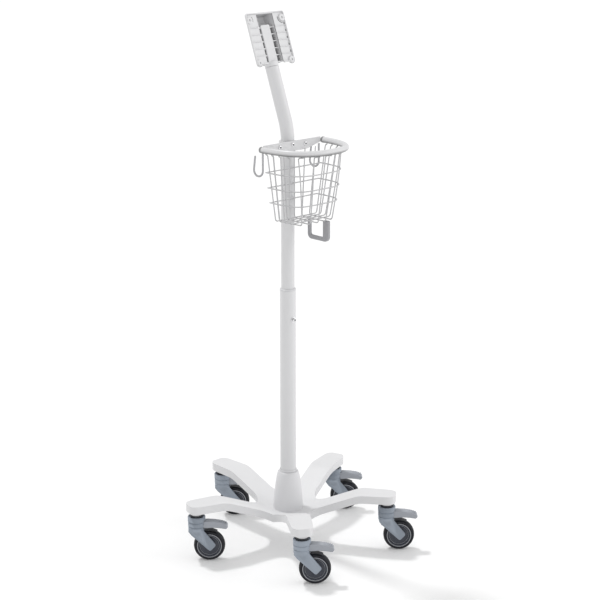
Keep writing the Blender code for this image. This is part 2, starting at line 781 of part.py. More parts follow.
def head_plate():
    """Plate with a deep channel, a ribbed spine in it, a round neck and a stub for the tube."""
    wall = CHANNEL_INNER + CHANNEL_WALL
    floor = CHANNEL_DEPTH + CHANNEL_WALL
    shell = box("channel", (-wall, PAN_DEPTH, CHANNEL_FOOT), (wall, floor, BRACKET_TOP - 1 * MM))
    room = box(
        "channel_room",
        (-CHANNEL_INNER, -THROUGH, BRACKET_FOOT - THROUGH),
        (CHANNEL_INNER, CHANNEL_DEPTH, BRACKET_TOP - PAN_RIM - 1 * MM),
    )
    upright = Matrix.Rotation(math.pi / 2, 4, "X")
    plate = prism("head_plate", wing_outline(), -PLATE_THICKNESS, 0, upright)
    hollow = carved("hollow", plate, [room] + wing_pockets(-1) + wing_pockets(1), [shell])
    spine = box(
        "spine",
        (-SPINE_HALF_WIDTH, SPINE_FACE, CHANNEL_FOOT + 0.5 * MM),
        (SPINE_HALF_WIDTH, CHANNEL_DEPTH + 1 * MM, SPINE_TOP),
    )
    stub_top = BRACKET_FOOT + 5 * MM
    stub = cylinder("stub", UPPER_TUBE_BORE - GAP, BRACKET_FOOT - STUB_LENGTH, stub_top, 20)
    neck = cylinder("neck", UPPER_TUBE_RADIUS - GAP, BRACKET_FOOT + GAP, CHANNEL_FOOT + 4 * MM, 20)
    joins = [spine, moved(neck, 0, FACE_OFFSET), moved(stub, 0, FACE_OFFSET)] + channel_ribs()
    cuts = []
    for x in (-HOLE_SPACING / 2, HOLE_SPACING / 2):
        for z in (-HOLE_SPACING / 2, HOLE_SPACING / 2):
            boss = upright_cylinder("corner_boss", CORNER_BOSS_RADIUS, 0, PAN_DEPTH + 0.5 * MM, x, z, 16)
            joins.append(boss)
            cuts.append(upright_cylinder("fixing_hole", 2.5 * MM, -THROUGH, 10 * MM, x, z, 12))
    for distance in head_screw_places().values():
        cuts.append(upright_cylinder("screw_hole", 2.8 * MM, FACE_OFFSET, 45 * MM, 0, distance, 12))
    return carved("head_plate", hollow, cuts, joins)


def head_screw(distance):
    """Button-head screw through the back of the tube into the bracket's stub."""
    seat = FACE_OFFSET + UPPER_TUBE_RADIUS + GAP
    shank = upright_cylinder("head_screw", 2.5 * MM, seat - 12 * MM, seat + 1 * MM, 0, distance, 12)
    head = upright_cylinder("screw_head", 4.4 * MM, seat, seat + 2.6 * MM, 0, distance, 14)
    return carved("head_screw", shank, joins=[head])


def build_bracket(parent, casting, steel):
    frame = empty("bracket_frame", parent, bracket_frame(), (-LEAN, 0, 0))
    node("head_plate", head_plate(), casting, frame)
    for name, distance in head_screw_places().items():
        node(name, head_screw(distance), steel, frame)


# ---------------------------------------------------------------- basket

def basket_half_width(height):
    return FLOOR_HALF_WIDTH + SIDE_SLOPE * (height - BASKET_FLOOR)


def basket_front(height):
    return FLOOR_FRONT - FRONT_SLOPE * (height - BASKET_FLOOR)


def outline_power(height):
    """Superellipse power of the basket's outline: squarer towards the floor."""
    part = (height - BASKET_FLOOR) / (RIM_HEIGHT - BASKET_FLOOR)
    return FLOOR_POWER + (RIM_POWER - FLOOR_POWER) * part


def other_share(share, power):
    """The second coordinate of a unit superellipse, from the first."""
    return (1 - abs(share) ** power) ** (1 / power)


def front_point(height, share):
    """A point on the basket's front wall; share runs from -1 at the left to 1 at the right."""
    depth = BASKET_REAR - basket_front(height)
    y = BASKET_REAR - depth * other_share(share, outline_power(height))
    return Vector((share * basket_half_width(height), y, height))


def side_point(height, side, share):
    """A point on a side wall; share runs from 0 at the rear to 1 at the front."""
    depth = BASKET_REAR - basket_front(height)
    x = side * basket_half_width(height) * other_share(share, outline_power(height))
    return Vector((x, BASKET_REAR - share * depth, height))


def rear_point(height, share):
    return Vector((share * basket_half_width(height), BASKET_REAR, height))


def outline_path(half_width, front, rear, height, power, steps):
    """The D-shaped path from the left rear corner round the front to the right one."""
    path = []
    for k in range(steps + 1):
        angle = math.pi * k / steps
        cosine = math.cos(angle)
        share = -math.copysign(abs(cosine) ** (2 / power), cosine)
        y = rear - (rear - front) * other_share(share, power)
        path.append(Vector((share * half_width, y, height)))
    return path


def hoop(height, steps=20):
    """A closed level wire round the basket, lying just outside the upright wires."""
    out = 1.5 * WIRE_RADIUS
    width = basket_half_width(height) + out
    front = basket_front(height) - out
    path = outline_path(width, front, BASKET_REAR + out, height, outline_power(height), steps)
    return swept("hoop", path, (0, 0, 1), circle_section(WIRE_RADIUS, WIRE_SIDES), closed=True)


def floor_bend(before, corner, after):
    """A wire's rounded corner at the floor."""
    return rounded([before, corner, after], 7 * MM, 2, closed=False)[1:-1]


def rim_front_at(x):
    """How far forward the rim's axis runs at one distance from its middle."""
    return BAR_FRONT - (BAR_FRONT - RIM_FRONT) * other_share(x / RIM_HALF_WIDTH, RIM_POWER)


def rim_side_at(y):
    """The rim axis's distance from the basket's middle at one depth."""
    return RIM_HALF_WIDTH * other_share((BAR_FRONT - y) / (BAR_FRONT - RIM_FRONT), RIM_POWER)


def long_wire(share):
    """A wire down the front, back under the floor and up the rear."""
    front = [front_point(height, share) for height in (WIRE_NECK, *HOOP_HEIGHTS)]
    front.insert(0, Vector((front[0].x, rim_front_at(front[0].x), WIRE_END)))
    rear = [rear_point(height, share) for height in reversed(HOOP_HEIGHTS)]
    rear.append(rear_point(BAR_TOP - 24 * MM, share))
    front_low = front_point(BASKET_FLOOR, share)
    rear_low = rear_point(BASKET_FLOOR, share)
    bends = floor_bend(front[-1], front_low, rear_low) + floor_bend(front_low, rear_low, rear[0])
    section = circle_section(WIRE_RADIUS, WIRE_SIDES)
    return swept("long_wire", front + bends + rear, (1, 0, -0.2 * share), section)


def cross_wire(share):
    """A wire down one side, across the floor and up the other side."""
    levels = (WIRE_NECK, *HOOP_HEIGHTS)
    floor = BASKET_FLOOR + 1.5 * WIRE_RADIUS
    left = [side_point(height, -1, share) for height in levels]
    right = [side_point(height, 1, share) for height in reversed(levels)]
    left.insert(0, Vector((-rim_side_at(left[0].y), left[0].y, WIRE_END)))
    right.append(Vector((rim_side_at(right[-1].y), right[-1].y, WIRE_END)))
    left_low = side_point(floor, -1, share)
    right_low = side_point(floor, 1, share)
    bends = floor_bend(left[-1], left_low, right_low) + floor_bend(left_low, right_low, right[0])
    section = circle_section(WIRE_RADIUS, WIRE_SIDES)
    return swept("cross_wire", left + bends + right, (0, 1, 0.2 * share), section)


def basket_wires():
    """All wires of the basket, welded where they cross."""
    tools = [hoop(height) for height in HOOP_HEIGHTS[1:]]
    tools += [long_wire(LONG_WIRE_STEP * k) for k in range(-2, 3)]
    tools += [cross_wire(share) for share in CROSS_WIRE_SHARES]
    return carved("basket_wires", hoop(HOOP_HEIGHTS[0]), joins=tools)


def basket_rim():
    """Round bar bent to a D, its two ends beside the clamp bar."""
    path = outline_path(RIM_HALF_WIDTH, RIM_FRONT, BAR_FRONT, RIM_HEIGHT, RIM_POWER, 20)
    start = Vector((-RIM_HALF_WIDTH, RIM_REAR, RIM_HEIGHT))
    end = Vector((RIM_HALF_WIDTH, RIM_REAR, RIM_HEIGHT))
    return swept("basket_rim", [start] + path + [end], (0, 0, 1), circle_section(RIM_RADIUS, 10))


def rim_end_cap(side):
    """Domed plug on one end of the rim."""
    profile = [(0, 0), (RIM_RADIUS - 0.3 * MM, 0), (RIM_RADIUS - 1.5 * MM, 2.2 * MM), (0, 3.4 * MM)]
    cap = turned("rim_end_cap", profile, 12)
    return moved(cap, side * RIM_HALF_WIDTH, RIM_REAR + GAP, RIM_HEIGHT, -math.pi / 2, "X")


def clamp_bar():
    """Flat bar in front of the pole, narrower towards its ends, with three screw holes."""
    foot = 973.5 * MM
    shoulder = 985 * MM
    outline = [
        (-BAR_HALF_WIDTH, shoulder),
        (-46 * MM, foot),
        (46 * MM, foot),
        (BAR_HALF_WIDTH, shoulder),
        (BAR_HALF_WIDTH, BAR_TOP),
        (-BAR_HALF_WIDTH, BAR_TOP),
    ]
    upright = Matrix.Rotation(math.pi / 2, 4, "X")
    bar = prism("basket_bracket", outline, -BAR_REAR, -BAR_FRONT, upright)
    cuts = [radial_pin("centre_hole", 2.9 * MM, -30 * MM, -10 * MM, RIM_HEIGHT, 12)]
    for x in (-CLAMP_SCREW_X, CLAMP_SCREW_X):
        cuts.append(moved(radial_pin("clamp_hole", 2.9 * MM, -30 * MM, -5 * MM, CLAMP_SCREW_Z, 12), x))
    return carved("basket_bracket", bar, cuts)


def clamp_rear():
    """Saddle behind the pole with an ear on each side, drawn up to the bar by two screws."""
    ear_front = BAR_REAR + GAP
    ear_rear = -11.5 * MM
    ear_x = 50 * MM
    outer = 20.5 * MM
    inner = UPPER_TUBE_RADIUS + GAP
    outer_start = math.asin(ear_rear / outer)
    inner_start = math.asin(ear_front / inner)
    outline = [Vector((-ear_x, ear_front)), Vector((-ear_x, ear_rear))]
    outline += arc((0, 0), outer, math.pi - outer_start, outer_start, 16)
    outline += [Vector((ear_x, ear_rear)), Vector((ear_x, ear_front))]
    outline += arc((0, 0), inner, inner_start, math.pi - inner_start, 20)
    saddle = prism("clamp_rear", outline, 976 * MM, 995 * MM)
    cuts = []
    for x in (-CLAMP_SCREW_X, CLAMP_SCREW_X):
        hole = radial_pin("ear_hole", 2.9 * MM, -30 * MM, 5 * MM, CLAMP_SCREW_Z, 12)
        cuts.append(moved(hole, x + BASKET_SHIFT))
    return carved("clamp_rear", saddle, cuts)


def bar_screw(x, height, tip):
    """Button-head screw on the bar's front, with its tip at y = tip."""
    seat = BAR_FRONT - GAP
    shank = radial_pin("bar_screw", 2.5 * MM, seat - 1 * MM, tip, height, 10)
    head = radial_pin("bar_screw_head", 4.6 * MM, seat - 2.6 * MM, seat, height, 14)
    return moved(carved("bar_screw", shank, joins=[head]), x)


def cable_hook(x):
    """U-shaped hook under the end of the clamp bar, open towards the rear."""
    front = -19.2 * MM
    rear = 12.5 * MM
    foot = 925.5 * MM
    corners = [
        (x, front, RIM_HEIGHT - RIM_RADIUS - GAP),
        (x, front, foot),
        (x, rear, foot),
        (x, rear - 6 * MM, 970 * MM),
    ]
    path = rounded(corners, 14.5 * MM, 6, closed=False)
    return swept("cable_hook", path, (1, 0, 0), circle_section(2.4 * MM, 8))


def hanging_loop():
    """Flat loop under the basket's floor, its front leg wider than its rear leg."""
    top = BASKET_FLOOR - WIRE_RADIUS - GAP
    foot = 767 * MM
    rear = -37 * MM
    front = -104 * MM
    outer = rounded([(rear, top), (rear, foot), (front, foot), (front, top)], 12 * MM, 4, closed=False)
    window_rear = rear - 6.5 * MM
    window_front = front + 17 * MM
    window_foot = foot + 9 * MM
    inner = rounded(
        [(window_front, top), (window_front, window_foot), (window_rear, window_foot), (window_rear, top)],
        5 * MM,
        2,
        closed=False,
    )
    sideways = Matrix.Rotation(math.pi / 2, 4, "Z") @ Matrix.Rotation(math.pi / 2, 4, "X")
    low = LOOP_X - LOOP_THICKNESS / 2
    return prism("hanging_loop", outer + inner, low, low + LOOP_THICKNESS, sideways)


def build_basket(parent, paint, wire, cap, steel):
    node("clamp_rear", clamp_rear(), paint, parent)
    frame = empty("basket_frame", parent, (BASKET_SHIFT, 0, 0))
    node("basket_bracket", clamp_bar(), paint, frame)
    tip = -8 * MM
    node("clamp_screw_left", bar_screw(-CLAMP_SCREW_X, CLAMP_SCREW_Z, tip), steel, frame)
    node("clamp_screw_right", bar_screw(CLAMP_SCREW_X, CLAMP_SCREW_Z, tip), steel, frame)
    node("bracket_centre_screw", bar_screw(0, RIM_HEIGHT, BAR_REAR + GAP), steel, frame)
    node("basket_rim", basket_rim(), paint, frame)
    node("rim_end_cap_left", rim_end_cap(-1), cap, frame)
    node("rim_end_cap_right", rim_end_cap(1), cap, frame)
    node("basket_wires", basket_wires(), wire, frame)
    node("cable_hook_left", cable_hook(HOOK_LEFT_X), wire, frame)
    node("cable_hook_right", cable_hook(HOOK_RIGHT_X), wire, frame)
    node("hanging_loop", hanging_loop(), cap, frame)


# ---------------------------------------------------------------- the stand

def clear_scene():
    for thing in list(bpy.data.objects):
        bpy.data.objects.remove(thing)


def build_stand():
    paint = material("white_paint", (0.80, 0.80, 0.81), 0.38)
    casting = material("white_casting", (0.78, 0.78, 0.79), 0.5)
    plastic = material("white_plastic", (0.74, 0.74, 0.76), 0.45)
    wire = material("coated_wire", (0.62, 0.62, 0.63), 0.4)
    grey = material("grey_plastic", (0.33, 0.33, 0.35), 0.5)
    moulding = material("caster_plastic", (0.21, 0.25, 0.31), 0.45)
    lever = material("pedal_plastic", (0.27, 0.30, 0.35), 0.45)
    dark = material("dark_plastic", (0.05, 0.055, 0.065), 0.5)
    core = material("wheel_plastic", (0.07, 0.08, 0.10), 0.5)
    rubber = material("tyre_rubber", (0.03, 0.03, 0.035), 0.7)
    steel = material("plated_steel", (0.55, 0.55, 0.56), 0.3, 1.0)

    pole = empty("pole_axis", None, (POLE_X, POLE_Y, 0))
    build_base(pole, paint, plastic, steel)
    build_casters(pole, dark, moulding, lever, core, rubber, steel)
    build_lower_pole(pole, paint, plastic, steel)
    seat = BUSH_OUTER + GAP
    screw_line = empty("lock_screw_line", pole, (0, -seat, LOCK_HEIGHT), (math.pi / 2, 0, 0))
    node("lock_screw", lock_screw(), steel, screw_line)
    build_glide(pole, plastic)
    build_upper_pole(pole, paint)
    build_bracket(pole, casting, steel)
    build_basket(pole, paint, wire, grey, steel)


clear_scene()
build_stand()
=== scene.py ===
"""Looks of the monitor roll stand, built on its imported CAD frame.

Metres, +Z up. Most shapes are drawn in the pole's frame (pole axis at X = Y = 0) and then
moved to where the frame puts the pole. Each caster's pieces are drawn once, about its stem,
and placed at the five stems that the frame's joints give.
"""

import json
import math

import bmesh
import bpy
from mathutils import Matrix, Vector


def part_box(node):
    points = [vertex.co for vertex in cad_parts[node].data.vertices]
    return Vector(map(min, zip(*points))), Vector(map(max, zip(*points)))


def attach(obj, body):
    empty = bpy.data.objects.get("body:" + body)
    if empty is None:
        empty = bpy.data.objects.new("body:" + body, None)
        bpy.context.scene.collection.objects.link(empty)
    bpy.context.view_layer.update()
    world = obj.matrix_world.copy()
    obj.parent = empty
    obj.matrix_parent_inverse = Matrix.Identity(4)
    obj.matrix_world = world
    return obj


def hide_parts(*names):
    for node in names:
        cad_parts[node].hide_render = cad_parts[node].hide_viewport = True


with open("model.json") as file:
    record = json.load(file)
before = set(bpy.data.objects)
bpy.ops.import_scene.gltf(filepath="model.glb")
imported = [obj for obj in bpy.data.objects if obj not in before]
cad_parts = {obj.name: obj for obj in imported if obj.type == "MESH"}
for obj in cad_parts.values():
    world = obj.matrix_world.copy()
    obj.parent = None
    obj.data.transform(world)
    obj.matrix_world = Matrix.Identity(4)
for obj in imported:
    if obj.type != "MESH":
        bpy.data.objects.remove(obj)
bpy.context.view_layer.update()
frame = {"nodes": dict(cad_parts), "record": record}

MM = 0.001
GAP = 0.3 * MM

JOINTS = {joint["name"]: joint for joint in frame["record"]["behaviour"]["joints"]}
STEMS = [Vector(JOINTS[f"caster_{k}_swivel"]["pos_m"]) for k in range(1, 6)]
POLE = Vector((*JOINTS["mast_height"].get("pos_m", JOINTS["mast_swivel"]["pos_m"])[:2], 0))
TO_POLE = Matrix.Translation(POLE)

# Base casting
LEGS = 5
LEG_STEP = math.tau / LEGS
HUB_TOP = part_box("lower_tube")[0].z - GAP
PAD_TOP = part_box("base_casting")[1].z
LEG_THICKNESS = 19.5 * MM
LEG_HALF_WIDTH = 28 * MM
PAD_HALF_WIDTH = 25.5 * MM
WEB_RADIUS = 42 * MM
HUB_FLAT = 42 * MM
HUB_CORE = 0.6 * HUB_FLAT
LEG_COLUMNS = 6
KINK = 176 * MM
PAD_BOSS_FOOT = 115 * MM
PAD_END = 263.3 * MM
PAD_ROUNDING = 22 * MM
PAD_BLUNTNESS = 0.72
FIRST_LEG = math.atan2(STEMS[0].y - POLE.y, STEMS[0].x - POLE.x)
COVER_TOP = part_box("base_cone_cover")[1].z
COLLAR_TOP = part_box("cone_collar")[1].z

# Casters, measured from the stem axis; the wheel trails along +X
ROLL = JOINTS["caster_1_roll"]
BRAKE = JOINTS["caster_1_brake"]
TRAIL = Vector(ROLL["pos_m"]).xy - STEMS[0].xy
TRAIL_TURN = math.atan2(TRAIL.y, TRAIL.x)
WHEEL_OFFSET = TRAIL.length
WHEEL_RADIUS = ROLL["pos_m"][2]
PEDAL_X = (Vector(BRAKE["pos_m"]).xy - STEMS[0].xy).length
PEDAL_Z = BRAKE["pos_m"][2]
HEAD_TOP = 111 * MM  # top of the caster head
ARM_INNER = 12 * MM
ARM_OUTER = 16.5 * MM
AXLE_RADIUS = 4 * MM

# Pole
LOWER_RADIUS = 19.05 * MM
LOWER_BORE = 17.45 * MM
UPPER_RADIUS = 15.875 * MM
TUBE_TOP_DROP = 4.5 * MM  # the visible joint sits this far below the CAD's tube top
LOWER_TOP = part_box("lower_tube")[1].z - TUBE_TOP_DROP
UPPER_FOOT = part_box("upper_tube")[0].z
BEND_START = 996.5 * MM
BEND_RADIUS = 130 * MM
LEAN = math.radians(20.2)
STRAIGHT_TOP = 125.4 * MM
BRACKET_CENTRE = 184.7 * MM
FACE_OFFSET = 19.6 * MM

# Monitor bracket
PLATE_HALF = 59 * MM
SPINE_FOOT = -59 * MM
PLATE_FOOT = -54.5 * MM
PLATE_TOP = 66 * MM
CHANNEL_FOOT = -51 * MM
EAR_RADIUS = 9 * MM
PLATE_DEPTH = 5 * MM
PAN_DEPTH = 3.5 * MM
PLATE_RIM = 3 * MM
CHANNEL_HALF = 25 * MM
CHANNEL_DEPTH = 34 * MM
WALL = 3 * MM
SPINE_HALF = 14 * MM
SPINE_FACE = 9 * MM
SPINE_TOP = 38.5 * MM
RIB_PITCH = 16.3 * MM
RIBS = 6
HOLE_OFFSET = 50 * MM

# Basket
BASKET_X = -2 * MM
RIM_HEIGHT = 988.5 * MM
RIM_RADIUS = 7 * MM
RIM_HALF_WIDTH = 97.5 * MM
RIM_FRONT = -146 * MM
RIM_REAR = -18 * MM
BAR_FRONT = -19 * MM
BAR_REAR = -16.3 * MM
BAR_HALF_WIDTH = 90 * MM
BAR_TOP = 997 * MM
BASKET_REAR = -25 * MM
BASKET_FLOOR = 818 * MM
FLOOR_HALF_WIDTH = 65 * MM
SIDE_SLOPE = 0.166
FLOOR_FRONT = -103 * MM
FRONT_SLOPE = 0.15
RIM_POWER = 2.6
FLOOR_POWER = 5.0
WIRE_RADIUS = 1.5 * MM
WIRE_BEND = 7 * MM
CROSSING = 1.6 * WIRE_RADIUS  # from one wire's axis to that of a wire welded across it
HOOP_HEIGHTS = (935.6 * MM, 899.5 * MM, 864 * MM)
CROSS_WIRE_SHARES = (0.08, 0.26, 0.46, 0.67)
LONG_WIRE_STEP = 0.37
WIRE_END = RIM_HEIGHT - RIM_RADIUS - WIRE_RADIUS  # wires end on the rim's underside
WIRE_NECK = 977.5 * MM  # where the wires turn out towards the rim
REAR_LEVELS = (864 * MM, 900 * MM, 940 * MM, WIRE_NECK)  # points of a wire up the rear
HOOKS = {"left": -93.5 * MM, "right": 84 * MM}
HOOK_RADIUS = 2.4 * MM
LOOP_X = 34.5 * MM
LOOP_THICKNESS = 8 * MM
SCREW_X = 40 * MM
SCREW_Z = 987 * MM

UPRIGHT = Matrix.Rotation(math.pi / 2, 4, "X")  # lays a prism's outline in the X-Z plane


# ---- shapes

def in_mm(*pairs):
    """Pairs given in millimetres as metres."""
    return [(first * MM, second * MM) for first, second in pairs]


def closed_mesh(name, points, faces):
    """A mesh whose shared points are merged and whose faces all look outwards."""
    mesh = bpy.data.meshes.new(name)
    mesh.from_pydata([tuple(point) for point in points], [], faces)
    work = bmesh.new()
    work.from_mesh(mesh)
    bmesh.ops.remove_doubles(work, verts=work.verts, dist=0.001 * MM)
    bmesh.ops.recalc_face_normals(work, faces=work.faces)
    work.to_mesh(mesh)
    work.free()
    return mesh


def numbered(sizes):
    """Point numbers, split into rings of the given sizes."""
    start = 0
    rings = []
    for size in sizes:
        rings.append(list(range(start, start + size)))
        start += size
    return rings


def bridged(rings, closed=False):
    """Faces between each ring of point numbers and the next; a ring of one point is a tip."""
    faces = []
    pairs = list(zip(rings, rings[1:]))
    if closed:
        pairs.append((rings[-1], rings[0]))
    for low, high in pairs:
        for k in range(max(len(low), len(high))):
            loop = [low[k % len(low)], low[(k + 1) % len(low)]]
            loop += [high[(k + 1) % len(high)], high[k % len(high)]]
            corners = list(dict.fromkeys(loop))
            if len(corners) > 2:
                faces.append(corners)
    return faces


def turned(profile, steps=64, closed=False):
    """A solid turned about Z from (radius, height) pairs."""
    points = []
    sizes = []
    for radius, height in profile:
        count = steps if radius > 0 else 1
        sizes.append(count)
        for k in range(count):
            angle = math.tau * k / steps
            points.append((radius * math.cos(angle), radius * math.sin(angle), height))
    return closed_mesh("turned", points, bridged(numbered(sizes), closed))


def rounded(corners, radius, steps=3, closed=False):
    """A flat or spatial path with an arc for each corner; the ends of an open path stay."""
    corners = [Vector(corner) for corner in corners]
    count = len(corners)
    path = []
    for k, corner in enumerate(corners):
        if not closed and k in (0, count - 1):
            path.append(corner)
            continue
        back = corners[k - 1] - corner
        ahead = corners[(k + 1) % count] - corner
        half = back.angle(ahead) / 2
        if half > math.radians(89):
            path.append(corner)
            continue
        reach = min(radius / math.tan(half), 0.49 * back.length, 0.49 * ahead.length)
        size = reach * math.tan(half)
        back.normalize()
        ahead.normalize()
        middle = corner + (back + ahead).normalized() * size / math.sin(half)
        start = corner + back * reach - middle
        end = corner + ahead * reach - middle
        sweep = math.pi - 2 * half
        for step in range(steps + 1):
            part = sweep * step / steps
            mix = start * math.sin(sweep - part) + end * math.sin(part)
            path.append(middle + mix / math.sin(sweep))
    return path


def prism(outline, low, high, place=Matrix()):
    """A flat outline carried from low to high along the third axis, then placed."""
    points = [place @ Vector((point[0], point[1], low)) for point in outline]
    points += [place @ Vector((point[0], point[1], high)) for point in outline]
    rings = numbered([len(outline), len(outline)])
    return closed_mesh("prism", points, bridged(rings) + [rings[0], rings[1]])


def frame_prism(outer, inner, low, high, place=Matrix()):
    """A flat frame between two outlines of equally many points."""
    points = []
    for outline, level in ((outer, low), (outer, high), (inner, high), (inner, low)):
        points += [place @ Vector((point[0], point[1], level)) for point in outline]
    return closed_mesh("frame", points, bridged(numbered([len(outer)] * 4), closed=True))


def box(low, high):
    """A box between two opposite corners."""
    outline = [(low[0], low[1]), (high[0], low[1]), (high[0], high[1]), (low[0], high[1])]
    return prism(outline, low[2], high[2])


def ring(inner, outer, low, high, soft, soft_steps=3, steps=96):
    """A ring about Z with rounded edges."""
    profile = [(inner, low), (outer, low), (outer, high), (inner, high)]
    return turned(rounded(profile, soft, soft_steps, closed=True), steps, closed=True)


def cylinder(radius, low, high, steps=48):
    return turned([(0, low), (radius, low), (radius, high), (0, high)], steps)


def arc(x, y, radius, start, end, steps=10):
    """Points on an arc about (x, y)."""
    points = []
    for k in range(steps + 1):
        angle = start + (end - start) * k / steps
        points.append((x + radius * math.cos(angle), y + radius * math.sin(angle)))
    return points


def arc_band(x, y, inner, outer, start, end, steps):
    """Outline of the band between two arcs about one centre."""
    return arc(x, y, outer, start, end, steps) + arc(x, y, inner, end, start, steps)


def circle_section(radius, sides):
    return arc(0, 0, radius, 0, math.tau, sides)[:-1]


def swept(path, normal, section, closed=False):
    """A section carried along a path with mitred turns; normal is square to the path's plane."""
    path = [Vector(point) for point in path]
    normal = Vector(normal).normalized()
    count = len(path)
    points = []
    for k, point in enumerate(path):
        ahead = (path[(k + 1) % count] - point).normalized()
        back = (point - path[k - 1]).normalized()
        if not closed and k == 0:
            back = ahead
        if not closed and k == count - 1:
            ahead = back
        along = (ahead + back).normalized()
        across = along.cross(normal).normalized() / along.dot(ahead)
        points += [point + normal * u + across * v for u, v in section]
    rings = numbered([len(section)] * count)
    faces = bridged(rings, closed)
    if not closed:
        faces += [rings[0], rings[-1]]
    return closed_mesh("swept", points, faces)


def at(x, y, z):
    """Moves something from the origin to a point."""
    return Matrix.Translation((x, y, z))


def moved(mesh, matrix):
    copy = mesh.copy()
    copy.transform(matrix)
    return copy


def joined(meshes):
    """Several closed shells as one mesh."""
    work = bmesh.new()
    for mesh in meshes:
        work.from_mesh(mesh)
    made = bpy.data.meshes.new("joined")
    work.to_mesh(made)
    work.free()
    return made


def linked(name, data):
    """A new object in the scene."""
    made = bpy.data.objects.new(name, data)
    bpy.context.collection.objects.link(made)
    return made


def carved(mesh, cuts=(), joins=()):
    """The mesh after its Boolean unions and cuts."""
    body = linked("carved", mesh)
    helpers = [body]
    for operation, tools in (("UNION", joins), ("DIFFERENCE", cuts)):
        for tool in tools:
            helper = linked("tool", tool)
            helpers.append(helper)
            modifier = body.modifiers.new("step", "BOOLEAN")
            modifier.operation = operation
            modifier.solver = "EXACT"
            modifier.object = helper
    graph = bpy.context.evaluated_depsgraph_get()
    made = bpy.data.meshes.new_from_object(body.evaluated_get(graph))
    for helper in helpers:
        bpy.data.objects.remove(helper)
    return made


def across_pin(radius, near, far, x, z, steps=48):
    """A cylinder along Y from near to far."""
    place = at(x, 0, z) @ UPRIGHT
    return moved(cylinder(radius, -far, -near, steps), place)


# ---- pieces

def piece(name, mesh, finish, body, nodes, place=TO_POLE, bevel=0.0, segments=3, limit=40):
    """A visible piece that rides on a CAD body and stands for some of its nodes."""
    made = linked(name, moved(mesh, place))
    made.data.materials.clear()
    made.data.materials.append(FINISHES[finish])
    made.data.shade_smooth()
    if bevel:
        modifier = made.modifiers.new("rounded_edges", "BEVEL")
        modifier.width = bevel
        modifier.segments = segments
        modifier.limit_method = "ANGLE"
        modifier.angle_limit = math.radians(limit)
        modifier.harden_normals = True
    else:
        made.data.set_sharp_from_angle(angle=math.radians(limit))
    bpy.context.view_layer.update()
    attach(made, body)
    if nodes:
        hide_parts(*nodes)
    return made


# ---- materials

def surface(name, colour, roughness, metallic=0.0):
    """An empty material with its shader, node tree and object coordinates."""
    made = bpy.data.materials.new(name)
    made.use_nodes = True
    tree = made.node_tree
    shader = tree.nodes["Principled BSDF"]
    shader.inputs["Base Color"].default_value = (*colour, 1)
    shader.inputs["Roughness"].default_value = roughness
    shader.inputs["Metallic"].default_value = metallic
    place = tree.nodes.new("ShaderNodeTexCoord").outputs["Object"]
    return made, tree, shader, place


def made_node(tree, kind, source, **values):
    """A shader node with its first input linked to the source and others set by name."""
    node = tree.nodes.new("ShaderNode" + kind)
    tree.links.new(source, node.inputs[0])
    for name, value in values.items():
        node.inputs[name.replace("_", " ")].default_value = value
    return node


def noise(tree, place, size, detail=3.0, stretch=None):
    """Noise whose blobs are about size metres across, as a 0 to 1 value."""
    if stretch:
        place = made_node(tree, "Mapping", place, Scale=stretch).outputs["Vector"]
    return made_node(tree, "TexNoise", place, Scale=1 / size, Detail=detail).outputs["Fac"]


def remapped(tree, value, low, high, to_low, to_high):
    """The value with the span from low to high stretched to a new one."""
    node = made_node(
        tree, "MapRange", value, From_Min=low, From_Max=high, To_Min=to_low, To_Max=to_high
    )
    return node.outputs["Result"]


def mixed(tree, factor, first, second):
    """Two colours mixed by a value; each colour is a triple or an output."""
    node = tree.nodes.new("ShaderNodeMix")
    node.data_type = "RGBA"
    tree.links.new(factor, node.inputs["Factor"])
    for socket, colour in ((node.inputs["A"], first), (node.inputs["B"], second)):
        if isinstance(colour, tuple):
            socket.default_value = (*colour, 1)
        else:
            tree.links.new(colour, socket)
    return node.outputs["Result"]


def bumped(tree, shader, height, strength, distance):
    node = tree.nodes.new("ShaderNodeBump")
    node.inputs["Strength"].default_value = strength
    node.inputs["Distance"].default_value = distance
    tree.links.new(height, node.inputs["Height"])
    tree.links.new(node.outputs["Normal"], shader.inputs["Normal"])


def edges(tree):
    """1 on convex edges, 0 elsewhere; the mask of the painted edge highlight."""
    point = tree.nodes.new("ShaderNodeNewGeometry").outputs["Pointiness"]
    return remapped(tree, point, 0.52, 0.6, 0, 1)


def tinted(colour, share):
    return tuple(min(max(part * share, 0), 1) for part in colour)


def underside_shade_mask(tree):
    """1 on faces that look down, 0 on faces that look up; the mask of the painted underside shade."""
    normal = tree.nodes.new("ShaderNodeNewGeometry").outputs["Normal"]
    height = made_node(tree, "SeparateXYZ", normal).outputs["Z"]
    return remapped(tree, height, 0.15, -0.8, 0, 1)


def coated(name, colour, roughness, grain, bump, mottle=0.03, dust=0.0, under=0.0):
    """Powder coat or moulded plastic: fine grain, slow mottling, a painted highlight on convex edges,
    painted shade on faces that look down.
    """
    made, tree, shader, place = surface(name, colour, roughness)
    slow = noise(tree, place, 45 * MM, 2)
    varied = mixed(tree, slow, tinted(colour, 1 - mottle), tinted(colour, 1 + mottle))
    # Painted highlight: convex edges a little paler than the rest.
    painted_light_and_dust = mixed(tree, edges(tree), varied, tinted(colour, 1 + 3 * mottle))
    if dust:
        specks = remapped(tree, noise(tree, place, 6 * MM, 6), 0.45, 0.75, 0, dust)
        painted_light_and_dust = mixed(tree, specks, painted_light_and_dust, (0.42, 0.41, 0.39))
    # Painted shade: faces that look down darker by the share under.
    if under:
        painted_light_and_dust = mixed(tree, underside_shade_mask(tree), painted_light_and_dust, tinted(colour, 1 - under))
    tree.links.new(painted_light_and_dust, shader.inputs["Base Color"])
    smear = noise(tree, place, 18 * MM, 4)
    rough = remapped(tree, smear, 0.3, 0.7, roughness - 0.05, roughness + 0.07)
    tree.links.new(rough, shader.inputs["Roughness"])
    bumped(tree, shader, noise(tree, place, grain, 2), bump, 0.05 * MM)
    return made


